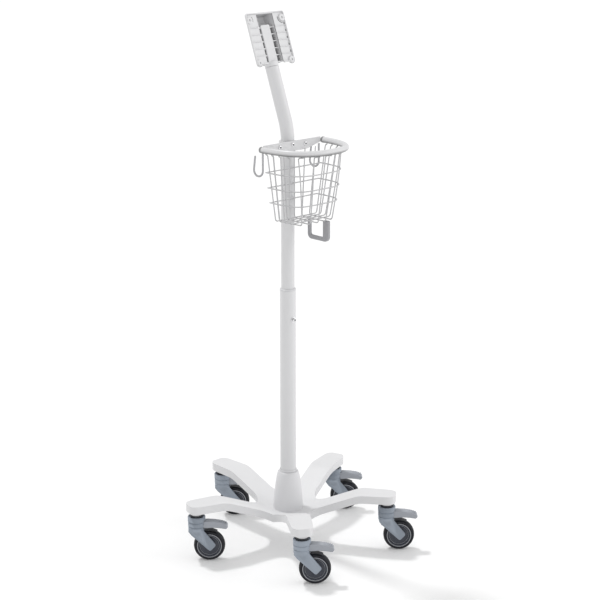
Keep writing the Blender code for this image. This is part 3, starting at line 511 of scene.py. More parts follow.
def rubber(name, colour):
    made, tree, shader, place = surface(name, colour, 0.62)
    dust = remapped(tree, noise(tree, place, 9 * MM, 6), 0.5, 0.8, 0, 0.12)
    tree.links.new(mixed(tree, dust, colour, (0.16, 0.155, 0.15)), shader.inputs["Base Color"])
    shader.inputs["Specular IOR Level"].default_value = 0.3
    rough = remapped(tree, noise(tree, place, 5 * MM, 4), 0.3, 0.7, 0.5, 0.72)
    tree.links.new(rough, shader.inputs["Roughness"])
    bumped(tree, shader, noise(tree, place, 0.8 * MM, 3), 0.35, 0.08 * MM)
    return made


def plated(name, colour, roughness):
    """Bright plated steel with fine turning marks."""
    made, tree, shader, place = surface(name, colour, roughness, 1.0)
    marks = noise(tree, place, 0.7 * MM, 4, (1, 1, 6))
    rough = remapped(tree, marks, 0.3, 0.7, roughness - 0.08, roughness + 0.12)
    tree.links.new(rough, shader.inputs["Roughness"])
    tone = noise(tree, place, 4 * MM, 3)
    varied = mixed(tree, tone, tinted(colour, 0.9), tinted(colour, 1.08))
    tree.links.new(varied, shader.inputs["Base Color"])
    bumped(tree, shader, marks, 0.12, 0.02 * MM)
    return made


# Every coated finish gets a painted highlight on its convex edges; an eighth argument, where given, is the
# share of painted shade on faces that look down.
FINISHES = {
    "paint": coated("white_powder_coat", (0.75, 0.75, 0.76), 0.34, 1.6 * MM, 0.12, 0.012, 0, 0.35),
    "casting": coated("white_cast_coat", (0.77, 0.77, 0.78), 0.42, 1.1 * MM, 0.25, 0.015, 0, 0.3),
    "plastic": coated("white_moulding", (0.73, 0.73, 0.745), 0.42, 0.9 * MM, 0.15, 0.012, 0, 0.3),
    # The rim gets strong painted shade on its underside.
    "rim": coated("rim_powder_coat", (0.76, 0.76, 0.77), 0.3, 1.6 * MM, 0.12, 0.012, 0, 0.9),
    # Near-black painted shade for the inside of the deep channel.
    "shade": coated("painted_channel_shade", (0.10, 0.10, 0.105), 0.6, 1.1 * MM, 0.25, 0.05),
    # Dark painted shade for the patches inside the right rim and round the upper bosses.
    "pocket_shade": coated("painted_pocket_shade", (0.22, 0.22, 0.225), 0.6, 1.1 * MM, 0.25, 0.05),
    "label": coated("label_film", (0.66, 0.66, 0.68), 0.3, 0.6 * MM, 0.05, 0.02),
    "wire": coated("dipped_wire", (0.6, 0.6, 0.61), 0.38, 1.2 * MM, 0.2, 0.04, 0, 0.5),
    "hook": coated("hook_coat", (0.48, 0.48, 0.495), 0.4, 1.2 * MM, 0.2, 0.04, 0, 0.5),
    "cap": coated("cap_moulding", (0.26, 0.26, 0.265), 0.45, 0.7 * MM, 0.3, 0.05),
    "grey": coated("grey_moulding", (0.33, 0.33, 0.345), 0.45, 0.7 * MM, 0.3, 0.05),
    "moulding": coated("caster_moulding", (0.29, 0.33, 0.385), 0.45, 0.5 * MM, 0.3, 0.05, 0.06, 0.3),
    "lever": coated("lever_moulding", (0.37, 0.39, 0.43), 0.42, 0.5 * MM, 0.3, 0.05, 0.06, 0.5),
    # Near-black: the stem disc's own colour, painted shade in the screw sockets, and over the wheel the
    # tyre's dark top with painted shade.
    "dark": coated("dark_moulding_and_painted_shade", (0.035, 0.037, 0.045), 0.5, 0.6 * MM, 0.3, 0.08),
    "core": coated("wheel_moulding", (0.036, 0.041, 0.058), 0.4, 0.6 * MM, 0.25, 0.08, 0.05),
    "pale": coated("wheel_ring_moulding", (0.33, 0.34, 0.36), 0.4, 0.6 * MM, 0.2, 0.05),
    "rubber": rubber("tyre_rubber", (0.012, 0.013, 0.018)),
    "steel": plated("bright_zinc", (0.82, 0.82, 0.83), 0.22),
}


# ---- base

def leg_top(along):
    """Height of the casting's upper face: level hub, rising leg, level pad, blended between."""
    rise = (along - HUB_FLAT) / (KINK - HUB_FLAT)
    blend = 0.09
    if rise > 1 - blend:
        over = min((rise - 1 + blend) / (2 * blend), 1)
        rise = 1 - blend + 2 * blend * (over - over ** 2 / 2)
        rise = rise if over < 1 else 1
    if rise < blend:
        under = max((rise + blend) / (2 * blend), 0)
        rise = blend * under ** 2
    return HUB_TOP + (PAD_TOP - HUB_TOP) * rise


def leg_stations():
    """(distance, half width) pairs along a leg, from the hub to the pad's end."""
    half_step = LEG_STEP / 2
    web_centre = (LEG_HALF_WIDTH + WEB_RADIUS) / math.sin(half_step)
    web_x = web_centre * math.cos(half_step)
    web_y = web_centre * math.sin(half_step)
    stations = [(along, along * math.tan(half_step)) for along in (HUB_CORE, HUB_FLAT)]
    stations += arc(web_x, web_y, WEB_RADIUS, math.pi + half_step, 1.5 * math.pi, 14)
    straight_start = stations[-1][0]
    pad_start = PAD_END - PAD_ROUNDING
    straight_steps = 16
    for k in range(1, straight_steps):
        along = straight_start + (pad_start - straight_start) * k / straight_steps
        share = min(max((along - KINK) / (pad_start - KINK), 0), 1)
        stations.append((along, LEG_HALF_WIDTH + (PAD_HALF_WIDTH - LEG_HALF_WIDTH) * share))
    end_steps = 14
    for k in range(end_steps + 1):
        angle = math.pi / 2 * k / end_steps
        along = pad_start + PAD_ROUNDING * math.sin(angle)
        half = PAD_HALF_WIDTH - PAD_ROUNDING * (1 - math.cos(angle)) * PAD_BLUNTNESS
        stations.append((along, half))
    return stations


def leg_sector(direction):
    """One fifth of the casting: a grid of quads along the leg and a fan over the hub."""
    turn = Matrix.Rotation(direction, 3, "Z")
    points = []
    rows = leg_stations()
    for along, half in rows:
        top = leg_top(along)
        for column in range(LEG_COLUMNS + 1):
            y = half * (2 * column / LEG_COLUMNS - 1)
            points.append(turn @ Vector((along, y, top)))
            points.append(turn @ Vector((along, y, top - LEG_THICKNESS)))
    width = 2 * (LEG_COLUMNS + 1)
    last = width - 2
    web_start = 1
    faces = []
    for row in range(len(rows) - 1):
        near = row * width
        far = near + width
        for column in range(LEG_COLUMNS):
            for level in (0, 1):
                low = near + 2 * column + level
                high = far + 2 * column + level
                faces.append([low, high, high + 2, low + 2])
        if row > web_start:
            faces.append([near, near + 1, far + 1, far])
            faces.append([near + last, near + last + 1, far + last + 1, far + last])
    end = (len(rows) - 1) * width
    for column in range(LEG_COLUMNS):
        low = end + 2 * column
        faces.append([low, low + 1, low + 3, low + 2])
    for level in (0, 1):
        centre = len(points)
        points.append(Vector((0, 0, HUB_TOP - LEG_THICKNESS * level)))
        for column in range(LEG_COLUMNS):
            faces.append([centre, 2 * column + level, 2 * column + 2 + level])
    return points, faces


def base_casting():
    """The five legs and the hub between them as one closed star."""
    points = []
    faces = []
    for k in range(LEGS):
        more_points, more_faces = leg_sector(FIRST_LEG + k * LEG_STEP)
        start = len(points)
        points += more_points
        faces += [[start + number for number in face] for face in more_faces]
    return closed_mesh("base_star", points, faces)


def boss_under_pad():
    """Round seat under a leg's pad, where the caster stem enters."""
    foot = PAD_BOSS_FOOT
    top = PAD_TOP - LEG_THICKNESS + 1 * MM
    return turned(rounded([(0, foot), (14 * MM, foot), (15 * MM, top), (0, top)], 1.2 * MM, 3), 40)


def cone_cover():
    """Bell-shaped shell over the pole's foot with a rounded hem."""
    foot = HUB_TOP + GAP
    height = COVER_TOP - foot
    neck = 21.9 * MM
    flare = 14.6 * MM
    outside = []
    steps = 28
    for k in range(steps + 1):
        level = (1 - k / steps) ** 1.6
        outside.append((neck + flare * level ** 0.45, COVER_TOP - height * level))
    outside[-1] = (neck - 0.9 * MM, COVER_TOP)
    outside.insert(-1, (neck + 0.3 * MM, COVER_TOP - 0.9 * MM))
    inside = [(radius - 2.2 * MM, level) for radius, level in reversed(outside)]
    return turned(outside + inside, 72, closed=True)


def build_base():
    piece(
        "leg_casting", base_casting(), "casting", "base", ["base_casting"],
        bevel=4.2 * MM, segments=5, limit=50,
    )
    boss = boss_under_pad()
    for k, stem in enumerate(STEMS):
        place = at(stem.x, stem.y, 0)
        piece(f"pad_boss_{k + 1}", boss, "casting", "base", [], place)
    piece("cone_shell", cone_cover(), "plastic", "base", ["base_cone_cover"])
    collar = ring(LOWER_RADIUS + GAP, 20.6 * MM, COVER_TOP + GAP, COLLAR_TOP, 0.7 * MM, steps=72)
    piece("cone_ring", collar, "plastic", "base", ["cone_collar"])


# ---- casters

def housing_head():
    """Round caster head with two grooves and a stepped top."""
    profile = in_mm(
        (0, 62), (13, 62), (20, 77), (20, 85), (19.1, 85.6), (19.1, 86.6), (20.4, 87.2),
        (20.4, 96.6), (19.4, 97.2), (19.4, 98.2), (21, 98.8), (21, 109.6), (19.7, 111),
        (18, 111), (18, 109), (0, 109),
    )
    return turned(profile, 72)


def fork_arm(side):
    """One arm of the fork, from the head down to the axle."""
    corners = in_mm((-19, 86), (-19, 76), (-12, 67), (32, 26), (46, 41.5), (16, 79), (6, 86))
    outline = rounded(corners, 4.5 * MM, 4, closed=True)
    return prism(outline, -side * ARM_INNER, -side * ARM_OUTER, UPRIGHT)


def fender():
    """Thin dark band close over the wheel, from the head to the front; its near-black stands for the tyre's
    dark top and for painted shade under the head and pedal.
    """
    inner = WHEEL_RADIUS + 0.6 * MM
    outer = WHEEL_RADIUS + 1.3 * MM
    start = math.radians(60)
    end = math.radians(108)
    band = arc_band(WHEEL_OFFSET, WHEEL_RADIUS, inner, outer, start, end, 24)
    half = ARM_INNER - 2.5 * MM
    return prism(band, -half, half, UPRIGHT)


def caster_housing():
    wheel_room = across_pin(
        WHEEL_RADIUS + 2 * MM, -ARM_INNER, ARM_INNER, WHEEL_OFFSET, WHEEL_RADIUS, 72
    )
    half = 11.3 * MM
    window = box((-1 * MM, -half, 78.7 * MM), (25 * MM, half, 101.5 * MM))
    return carved(housing_head(), [wheel_room, window], [fork_arm(1), fork_arm(-1)])


def caster_pedal():
    """Foot lever, drawn about its pivot, its top curving down to a blunt tip."""
    corners = in_mm(
        (3, 95), (12, 99), (26, 100), (44, 99), (60, 96), (72, 91), (75.5, 86), (70.5, 80),
        (60, 81.8), (50, 83), (38, 83.6), (20, 82), (3, 85),
    )
    shifted = [(x - PEDAL_X, z - PEDAL_Z) for x, z in corners]
    outline = rounded(shifted, 4 * MM, closed=True)
    half = 10.5 * MM
    return prism(outline, -half, half, UPRIGHT)


def pedal_treads():
    """Raised bars across the pedal's tip."""
    bars = []
    for k in range(5):
        x = (52 + 4.2 * k) * MM - PEDAL_X
        z = (98.4 - 0.55 * k - 0.12 * k ** 2) * MM - PEDAL_Z
        bars.append(box((x, -8 * MM, z - 2 * MM), (x + 1.8 * MM, 8 * MM, z)))
    return joined(bars)


def wheel_core():
    """Dished wheel centre about Z: hub, web and rim, the same on both sides."""
    half = in_mm(
        (5, -11.4), (9, -11.4), (10.5, -10.2), (11.5, -8), (23.9, -7.2), (24.9, -9.8),
        (26, -10.2), (27.6, -9.9),
    )
    profile = rounded(half, 0.8 * MM, 2)
    mirrored = [(radius, -level) for radius, level in reversed(profile)]
    return turned(profile + mirrored, 72, closed=True)


def wheel_rings():
    """Two pale rings let into each face: one just inside the tyre, a thin one on the web."""
    rings = []
    for side in (-1, 1):
        for radius, width, face in (
            (27.9 * MM, 1.4 * MM, 10.7 * MM),
            (23.2 * MM, 0.5 * MM, 7.6 * MM),
        ):
            profile = [
                (radius + 0.1 * MM, side * (face - 1.2 * MM)),
                (radius, side * (face - 0.1 * MM)),
                (radius + width, side * face),
                (radius + width + 0.1 * MM, side * (face - 1.2 * MM)),
            ]
            rings.append(turned(profile, 72, closed=True))
    return joined(rings)


def wheel_tyre():
    """Tyre with a rounded tread."""
    half = 10.8 * MM
    crown = 4 * MM
    profile = in_mm((28.2, -9.4), (29.5, -10.1))
    steps = 14
    for k in range(steps + 1):
        angle = math.radians(-80 + 160 * k / steps)
        profile.append((WHEEL_RADIUS - crown + crown * math.cos(angle), half * math.sin(angle)))
    profile += in_mm((29.5, 10.1), (28.2, 9.4))
    return turned(profile, 96, closed=True)


def axle_pin():
    """Axle between the fork's arms, its ends pressed into them."""
    end = ARM_OUTER - 0.6 * MM
    return cylinder(AXLE_RADIUS - 0.1 * MM, -end, end, 32)


def stem_disc():
    """Dark disc between the casting and the caster head, with the stem through it."""
    low = HEAD_TOP - 1.7 * MM
    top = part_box("caster_1_stem")[1].z
    seat = PAD_BOSS_FOOT - 0.3 * MM
    profile = [
        (0, low), (15 * MM, low), (15 * MM, seat), (6 * MM, seat),
        (6 * MM, top), (0, top),
    ]
    return turned(rounded(profile, 0.4 * MM, 2), 64)


def build_casters():
    housing = caster_housing()
    pedal = caster_pedal()
    treads = pedal_treads()
    core = wheel_core()
    rings = wheel_rings()
    tyre = wheel_tyre()
    axle = axle_pin()
    stem = stem_disc()
    band = fender()
    for k, spot in enumerate(STEMS):
        name = f"caster_{k + 1}"
        swivel = at(spot.x, spot.y, 0) @ Matrix.Rotation(TRAIL_TURN, 4, "Z")
        hinge = swivel @ at(PEDAL_X, 0, PEDAL_Z)
        centre = swivel @ at(WHEEL_OFFSET, 0, WHEEL_RADIUS) @ UPRIGHT
        lever = name + "_lever"
        wheel = name + "_wheel"
        for tail, mesh, finish, body, slot, node, place, bevel, segments, limit in (
            ("disc", stem, "dark", "base", "dark_plastic", "stem", swivel, 0, 3, 40),
            ("body", housing, "moulding", name, "caster_plastic", "housing", swivel, 0.7, 2, 38),
            # The fender's near-black is the tyre's dark top and painted shade under the head and pedal.
            ("fender", band, "dark", name, "caster_plastic", "", swivel, 0.5, 2, 38),
            ("foot_lever", pedal, "lever", lever, "pedal_plastic", "pedal", hinge, 1.8, 4, 50),
            ("treads", treads, "lever", lever, "pedal_plastic", "", hinge, 0.5, 2, 40),
            ("core", core, "core", wheel, "wheel_plastic", "wheel_core", centre, 0, 3, 40),
            ("ring", rings, "pale", wheel, "wheel_plastic", "", centre, 0, 3, 40),
            ("tread", tyre, "rubber", wheel, "tyre_rubber", "tyre", centre, 0, 3, 40),
            ("pin", axle, "steel", name, "plated_steel", "axle", centre, 0, 3, 40),
        ):
            nodes = [f"{name}_{node}"] if node else []
            piece(
                f"{name}_{tail}", mesh, finish, body, nodes, place,
                bevel * MM, segments, limit,
            )


# ---- pole

def leaning():
    return Vector((0, math.sin(LEAN), math.cos(LEAN)))


def pole_path():
    """The upper tube's axis: upright, bent back, then straight to the bracket."""
    steps = 24
    path = [Vector((0, 0, UPPER_FOOT)), Vector((0, 0, BEND_START))]
    for k in range(1, steps + 1):
        angle = LEAN * k / steps
        back = BEND_RADIUS * (1 - math.cos(angle))
        path.append(Vector((0, back, BEND_START + BEND_RADIUS * math.sin(angle))))
    path.append(path[-1] + leaning() * STRAIGHT_TOP)
    return path


def bracket_matrix():
    """From the bracket's own frame (X right, Y back, Z up the lean) to the pole's."""
    bend_end = pole_path()[-1] - leaning() * STRAIGHT_TOP
    forward = Vector((0, -math.cos(LEAN), math.sin(LEAN)))
    centre = bend_end + leaning() * BRACKET_CENTRE + forward * FACE_OFFSET
    return Matrix.Translation(centre) @ Matrix.Rotation(-LEAN, 4, "X")


def socket_screw(head_radius, head_height, shank_radius, shank):
    """Button-head screw about Z with a hexagon socket, its seat at the origin."""
    profile = [
        (0, -shank), (shank_radius, -shank), (shank_radius, 0), (head_radius, 0),
        (head_radius, head_height * 0.35), (head_radius * 0.82, head_height * 0.8),
        (head_radius * 0.5, head_height), (0, head_height),
    ]
    head = turned(rounded(profile, 0.35 * MM, 3), 48)
    hexagon = circle_section(head_radius * 0.5, 6)
    return carved(head, [prism(hexagon, head_height * 0.35, head_height * 2)])


def socket_shade(head_radius, head_height):
    """Dark hexagon of painted shade that lines the socket of a button-head screw."""
    hexagon = circle_section(head_radius * 0.49, 6)
    return prism(hexagon, head_height * 0.3, head_height * 0.8)


def facing_front(x, y, z):
    """Places something drawn about Z so that its Z points to the front."""
    return TO_POLE @ at(x, y, z) @ UPRIGHT


def build_pole():
    lower = ring(LOWER_BORE, LOWER_RADIUS, HUB_TOP + GAP, LOWER_TOP, 0.6 * MM)
    piece("lower_pole", lower, "paint", "base", ["lower_tube"])
    flange_low = LOWER_TOP + GAP
    profile = [
        (UPPER_RADIUS + 0.15 * MM, LOWER_TOP - 60 * MM),
        (LOWER_BORE - 0.2 * MM, LOWER_TOP - 60 * MM),
        (LOWER_BORE - 0.2 * MM, flange_low),
        (LOWER_RADIUS + 0.1 * MM, flange_low),
        (LOWER_RADIUS - 0.1 * MM, flange_low + 2.2 * MM),
        (LOWER_RADIUS - 1.2 * MM, flange_low + 3 * MM),
        (UPPER_RADIUS + 0.15 * MM, flange_low + 3 * MM),
    ]
    bush = turned(profile, 96, closed=True)
    piece("pole_bush", bush, "plastic", "base", ["height_bush"])
    upper = swept(pole_path(), (1, 0, 0), circle_section(UPPER_RADIUS, 72))
    piece("upper_pole", upper, "paint", "mast", ["upper_tube"], limit=60)
    lock = JOINTS["lock_screw_turn"]["pos_m"]
    seat = at(lock[0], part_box("lock_screw")[0].y, lock[2]) @ UPRIGHT
    head_radius = 5 * MM
    head_height = 4.2 * MM
    sunk = at(0, 0, -head_height)
    screw = moved(socket_screw(head_radius, head_height, 3 * MM, 4 * MM), sunk)
    shade = moved(socket_shade(head_radius, head_height), sunk)
    rider = "lock_screw_body"
    piece("lock_screw_head", screw, "steel", rider, ["lock_screw"], seat)
    # The socket's dark hexagon is painted shade in the recess.
    piece("lock_screw_socket", shade, "dark", rider, [], seat)
    insert = ring(3.2 * MM, 7 * MM, 0, 1.3 * MM, 0.4 * MM, 2, 48)
    face = at(lock[0], POLE.y - LOWER_RADIUS + 0.2 * MM, lock[2]) @ UPRIGHT
    piece("lock_insert_ring", insert, "steel", "base", ["lock_insert"], face)
    inner = LOWER_RADIUS + 0.02 * MM
    outer = LOWER_RADIUS + 0.12 * MM
    film = arc_band(0, 0, inner, outer, math.radians(-62), math.radians(-12), 16)
    piece("blank_label", prism(film, 246 * MM, 274 * MM), "label", "base", [])


# ---- monitor bracket

def rib_levels():
    return [SPINE_FOOT + 9.5 * MM + RIB_PITCH * k for k in range(RIBS)]


def hole_places():
    return [(x, z) for x in (-HOLE_OFFSET, HOLE_OFFSET) for z in (-HOLE_OFFSET, HOLE_OFFSET)]


def plate_outline(inset):
    """The plate's edge, moved in by inset, with a round ear below each lower corner."""
    ear = EAR_RADIUS - inset
    meet = math.asin((-HOLE_OFFSET - PLATE_FOOT - inset) / ear)
    soft = 5 * MM - inset
    side = PLATE_HALF - 5 * MM
    top = PLATE_TOP - 5 * MM
    outline = arc(-HOLE_OFFSET, -HOLE_OFFSET, ear, math.pi, math.tau - meet)
    outline += arc(HOLE_OFFSET, -HOLE_OFFSET, ear, math.pi + meet, math.tau)
    outline += arc(side, top, soft, 0, math.pi / 2)
    outline += arc(-side, top, soft, math.pi / 2, math.pi)
    return outline


def channel_mouth():
    """Cutter that opens the plate over the channel, down through its lower edge."""
    low = (-CHANNEL_HALF, -1 * MM, PLATE_FOOT - 2 * MM)
    return box(low, (CHANNEL_HALF, 9 * MM, PLATE_TOP - 3.5 * MM))


def bracket_frame_mesh():
    """The plate's raised rim, open at the foot of the channel."""
    rim = frame_prism(plate_outline(0), plate_outline(PLATE_RIM), -PLATE_DEPTH, 0, UPRIGHT)
    return carved(rim, [channel_mouth()])


def bracket_wings():
    """The recessed panels beside the channel, with the fixing holes through them."""
    panel = prism(plate_outline(0.5 * MM), -PLATE_DEPTH + 0.1 * MM, -PAN_DEPTH, UPRIGHT)
    cuts = [channel_mouth()]
    cuts += [across_pin(2.5 * MM, -9 * MM, 9 * MM, x, z, 32) for x, z in hole_places()]
    return carved(panel, cuts)


def corner_bosses():
    """A raised ring round each fixing hole."""
    height = 3.6 * MM
    boss = ring(2.5 * MM, 8.5 * MM, 0, height, 0.5 * MM, 2, 40)
    places = [at(x, height, z) @ UPRIGHT for x, z in hole_places()]
    return joined([moved(boss, place) for place in places])


def bracket_channel():
    """Side walls, top wall, back wall and cross ribs of the deep channel."""
    back = CHANNEL_DEPTH + WALL
    foot = CHANNEL_FOOT
    top = PLATE_TOP - 1 * MM
    shells = []
    for side in (-1, 1):
        low = (side * CHANNEL_HALF, PAN_DEPTH - 0.2 * MM, foot)
        shells.append(box(low, (side * (CHANNEL_HALF + WALL), back, top)))
    low = (-CHANNEL_HALF, CHANNEL_DEPTH, foot + 0.02 * MM)
    shells.append(box(low, (CHANNEL_HALF, back - 0.01 * MM, top - 0.01 * MM)))
    low = (-CHANNEL_HALF, 0.4 * MM, PLATE_TOP - 4 * MM)
    shells.append(box(low, (CHANNEL_HALF, CHANNEL_DEPTH, top - 0.02 * MM)))
    for level in rib_levels():
        low = (-CHANNEL_HALF, SPINE_FACE + 1 * MM, level - 1.2 * MM)
        high = (CHANNEL_HALF, CHANNEL_DEPTH, level + 1.2 * MM)
        shells.append(box(low, high))
    return joined(shells)


def channel_shade():
    """Near-black painted shade lining the back wall behind the spine, and the spine's root between the
    ribs.
    """
    edge = CHANNEL_HALF - 0.1 * MM
    back = box(
        (-edge, CHANNEL_DEPTH - 0.4 * MM, CHANNEL_FOOT + 0.3 * MM),
        (edge, CHANNEL_DEPTH + 0.2 * MM, SPINE_TOP - 4 * MM),
    )
    edge = SPINE_HALF + 0.15 * MM
    root = box(
        (-edge, SPINE_FACE + 4 * MM, CHANNEL_FOOT + 0.2 * MM),
        (edge, CHANNEL_DEPTH + 1 * MM, SPINE_TOP - 3 * MM),
    )
    return joined([back, root])


def wing_shade_inlays():
    """Dark patches of painted shade inside the right rim, one above each rib, and a band of painted shade
    round each upper boss.
    """
    inlays = []
    edge = PLATE_HALF - PLATE_RIM
    for level in rib_levels()[1:]:
        low = (edge - 2.6 * MM, PAN_DEPTH - 0.3 * MM, level + 1.4 * MM)
        inlays.append(box(low, (edge - 0.2 * MM, PAN_DEPTH + 0.5 * MM, level + 6.5 * MM)))
    sweeps = ((1, math.radians(165), math.radians(275)), (-1, math.radians(40), math.radians(-20)))
    for side, start, end in sweeps:
        band = arc_band(side * HOLE_OFFSET, HOLE_OFFSET, 10.6 * MM, 12.4 * MM, start, end, 16)
        inlays.append(prism(band, -PAN_DEPTH - 0.5 * MM, -PAN_DEPTH + 0.3 * MM, UPRIGHT))
    return joined(inlays)


def wing_ribs():
    """Low ribs across each wing, in line with the channel's."""
    ribs = []
    for side in (-1, 1):
        for level in rib_levels()[1:]:
            low = (side * CHANNEL_HALF, 1.6 * MM, level - 1 * MM)
            high = (side * (PLATE_HALF - 2 * MM), PAN_DEPTH + 0.5 * MM, level + 1 * MM)
            ribs.append(box(low, high))
    return joined(ribs)


def bracket_spine():
    """Flat-faced spine up the middle of the channel."""
    outline = [
        (-SPINE_HALF, CHANNEL_FOOT), (SPINE_HALF, CHANNEL_FOOT),
        (SPINE_HALF, SPINE_TOP), (-SPINE_HALF, SPINE_TOP),
    ]
    outline = rounded(outline, 3 * MM, 4, closed=True)
    return prism(outline, -CHANNEL_DEPTH - 1 * MM, -SPINE_FACE, UPRIGHT)


def bracket_neck():
    """Round neck that carries the tube's outline up into the bracket."""
    neck = cylinder(UPPER_RADIUS - 0.3 * MM, SPINE_FOOT + 0.1 * MM, CHANNEL_FOOT + 4 * MM, 64)
    return moved(neck, at(0, FACE_OFFSET, 0))


def build_bracket():
    place = TO_POLE @ bracket_matrix()
    for name, mesh, finish, nodes, bevel, segments, limit in (
        ("bracket_rim", bracket_frame_mesh(), "casting", ["head_plate"], 0.9, 3, 40),
        ("bracket_wings", bracket_wings(), "casting", [], 0, 3, 30),
        ("bracket_bosses", corner_bosses(), "casting", [], 0, 3, 40),
        ("bracket_channel", bracket_channel(), "casting", [], 0.4, 2, 40),
        ("bracket_shade", channel_shade(), "shade", [], 0, 3, 40),
        # Thin inlays of painted shade on the wings.
        ("bracket_shade_inlays", wing_shade_inlays(), "pocket_shade", [], 0, 3, 40),
        ("bracket_ribs", wing_ribs(), "casting", [], 0.5, 2, 40),
        ("bracket_spine", bracket_spine(), "casting", [], 1.6, 4, 40),
        ("bracket_neck", bracket_neck(), "casting", [], 1, 3, 40),
    ):
        piece(name, mesh, finish, "mast", nodes, place, bevel * MM, segments, limit)
    seat = FACE_OFFSET + UPPER_RADIUS + 0.1 * MM
    screw = socket_screw(4.4 * MM, 2.5 * MM, 2.5 * MM, 4 * MM)
    for name, distance in (("head_screw_upper", -68 * MM), ("head_screw_lower", -83 * MM)):
        turn = at(0, seat, distance) @ Matrix.Rotation(-math.pi / 2, 4, "X")
        piece(name + "_button", screw, "steel", "mast", [name], place @ turn)


# ---- basket

def half_width_at(height):
    return FLOOR_HALF_WIDTH + SIDE_SLOPE * (height - BASKET_FLOOR)


def front_at(height):
    return FLOOR_FRONT - FRONT_SLOPE * (height - BASKET_FLOOR)


def power_at(height):
    part = (height - BASKET_FLOOR) / (RIM_HEIGHT - BASKET_FLOOR)
    return FLOOR_POWER + (RIM_POWER - FLOOR_POWER) * part


def other_share(share, power):
    return (1 - abs(share) ** power) ** (1 / power)


def front_point(height, share):
    depth = BASKET_REAR - front_at(height)
    y = BASKET_REAR - depth * other_share(share, power_at(height))
    return Vector((share * half_width_at(height), y, height))


def side_point(height, side, share):
    depth = BASKET_REAR - front_at(height)
    x = side * half_width_at(height) * other_share(share, power_at(height))
    return Vector((x, BASKET_REAR - share * depth, height))


def rear_point(height, share):
    return Vector((share * half_width_at(height), BASKET_REAR, height))


def outline_path(half_width, front, rear, height, power, steps):
    """A level D-shaped path from the left rear round the front to the right rear."""
    path = []
    for k in range(steps + 1):
        angle = math.pi * k / steps
        cosine = math.cos(angle)
        share = -math.copysign(abs(cosine) ** (2 / power), cosine)
        path.append(Vector((share * half_width, rear - (rear - front) * other_share(share, power), height)))
    return path


def wire(path, normal, radius=WIRE_RADIUS, closed=False):
    return swept(path, normal, circle_section(radius, 12), closed)


def hoop(height):
    """A level wire round the outside of the basket."""
    half_width = half_width_at(height) + CROSSING
    front = front_at(height) - CROSSING
    path = outline_path(half_width, front, BASKET_REAR + CROSSING, height, power_at(height), 56)
    return wire(path, (0, 0, 1), closed=True)


def rim_front_at(x):
    """How far forward the rim's axis runs at one distance from its middle."""
    return BAR_FRONT - (BAR_FRONT - RIM_FRONT) * other_share(x / RIM_HALF_WIDTH, RIM_POWER)


def rim_side_at(y):
    """The rim axis's distance from the basket's middle at one depth."""
    return RIM_HALF_WIDTH * other_share((BAR_FRONT - y) / (BAR_FRONT - RIM_FRONT), RIM_POWER)


def falling(top, foot, steps=8):
    """Levels from the top down, the foot left out."""
    return [top + (foot - top) * k / steps for k in range(steps)]


def necked(end, wall):
    """A wire's wall with its bent upper end, which meets the rim at the given point."""
    return rounded([end, wall[0], wall[1]], 6 * MM, 5)[:-1] + wall[1:]


def long_wire(share):
    """A wire from the rim down the front, back under the floor and up the rear."""
    front = [front_point(height, share) for height in falling(WIRE_NECK, BASKET_FLOOR)]
    end = Vector((front[0].x, rim_front_at(front[0].x), WIRE_END))
    rear = [rear_point(height, share) for height in REAR_LEVELS]
    corners = [front[-1], front_point(BASKET_FLOOR, share), rear_point(BASKET_FLOOR, share), rear[0]]
    bends = rounded(corners, WIRE_BEND, 6)[1:-1]
    return wire(necked(end, front) + bends + rear, (1, 0, -0.2 * share))


def cross_wire(share):
    """A wire from the rim down one side, across the floor and up the other side."""
    floor = BASKET_FLOOR + CROSSING
    levels = falling(WIRE_NECK, floor)
    walls = []
    for side in (-1, 1):
        wall = [side_point(height, side, share) for height in levels]
        end = Vector((side * rim_side_at(wall[0].y), wall[0].y, WIRE_END))
        walls.append(necked(end, wall))
    left, right = walls
    right.reverse()
    corners = [left[-1], side_point(floor, -1, share), side_point(floor, 1, share), right[0]]
    bends = rounded(corners, WIRE_BEND, 6)[1:-1]
    return wire(left + bends + right, (0, 1, 0.2 * share))


def basket_wires():
    wires = [hoop(height) for height in HOOP_HEIGHTS]
    wires += [long_wire(LONG_WIRE_STEP * k) for k in range(-2, 3)]
    wires += [cross_wire(share) for share in CROSS_WIRE_SHARES]
    return joined(wires)


def basket_rim():
    path = outline_path(RIM_HALF_WIDTH, RIM_FRONT, BAR_FRONT, RIM_HEIGHT, RIM_POWER, 72)
    start = Vector((-RIM_HALF_WIDTH, RIM_REAR, RIM_HEIGHT))
    end = Vector((RIM_HALF_WIDTH, RIM_REAR, RIM_HEIGHT))
    return swept([start] + path + [end], (0, 0, 1), circle_section(RIM_RADIUS, 32))


def end_plug():
    """Domed cap pushed over the end of the rim, about Z."""
    edge = RIM_RADIUS + 0.25 * MM
    profile = [(0, -5 * MM), (edge, -5 * MM), (edge, 0.2 * MM)]
    steps = 6
    for k in range(1, steps + 1):
        angle = math.pi / 2 * k / steps
        profile.append((edge * math.cos(angle) if k < steps else 0, 3.2 * MM * math.sin(angle)))
    return turned(profile, 40)


def clamp_bar():
    """Flat bar in front of the pole, deeper in its middle."""
    foot = 973.5 * MM
    shoulder = 985 * MM
    outline = [
        (-BAR_HALF_WIDTH, shoulder),
        (-46 * MM, foot),
        (46 * MM, foot),
        (BAR_HALF_WIDTH, shoulder),
        (BAR_HALF_WIDTH, BAR_TOP),
        (-BAR_HALF_WIDTH, BAR_TOP),
    ]
    return prism(rounded(outline, 1.5 * MM, closed=True), -BAR_REAR, -BAR_FRONT, UPRIGHT)


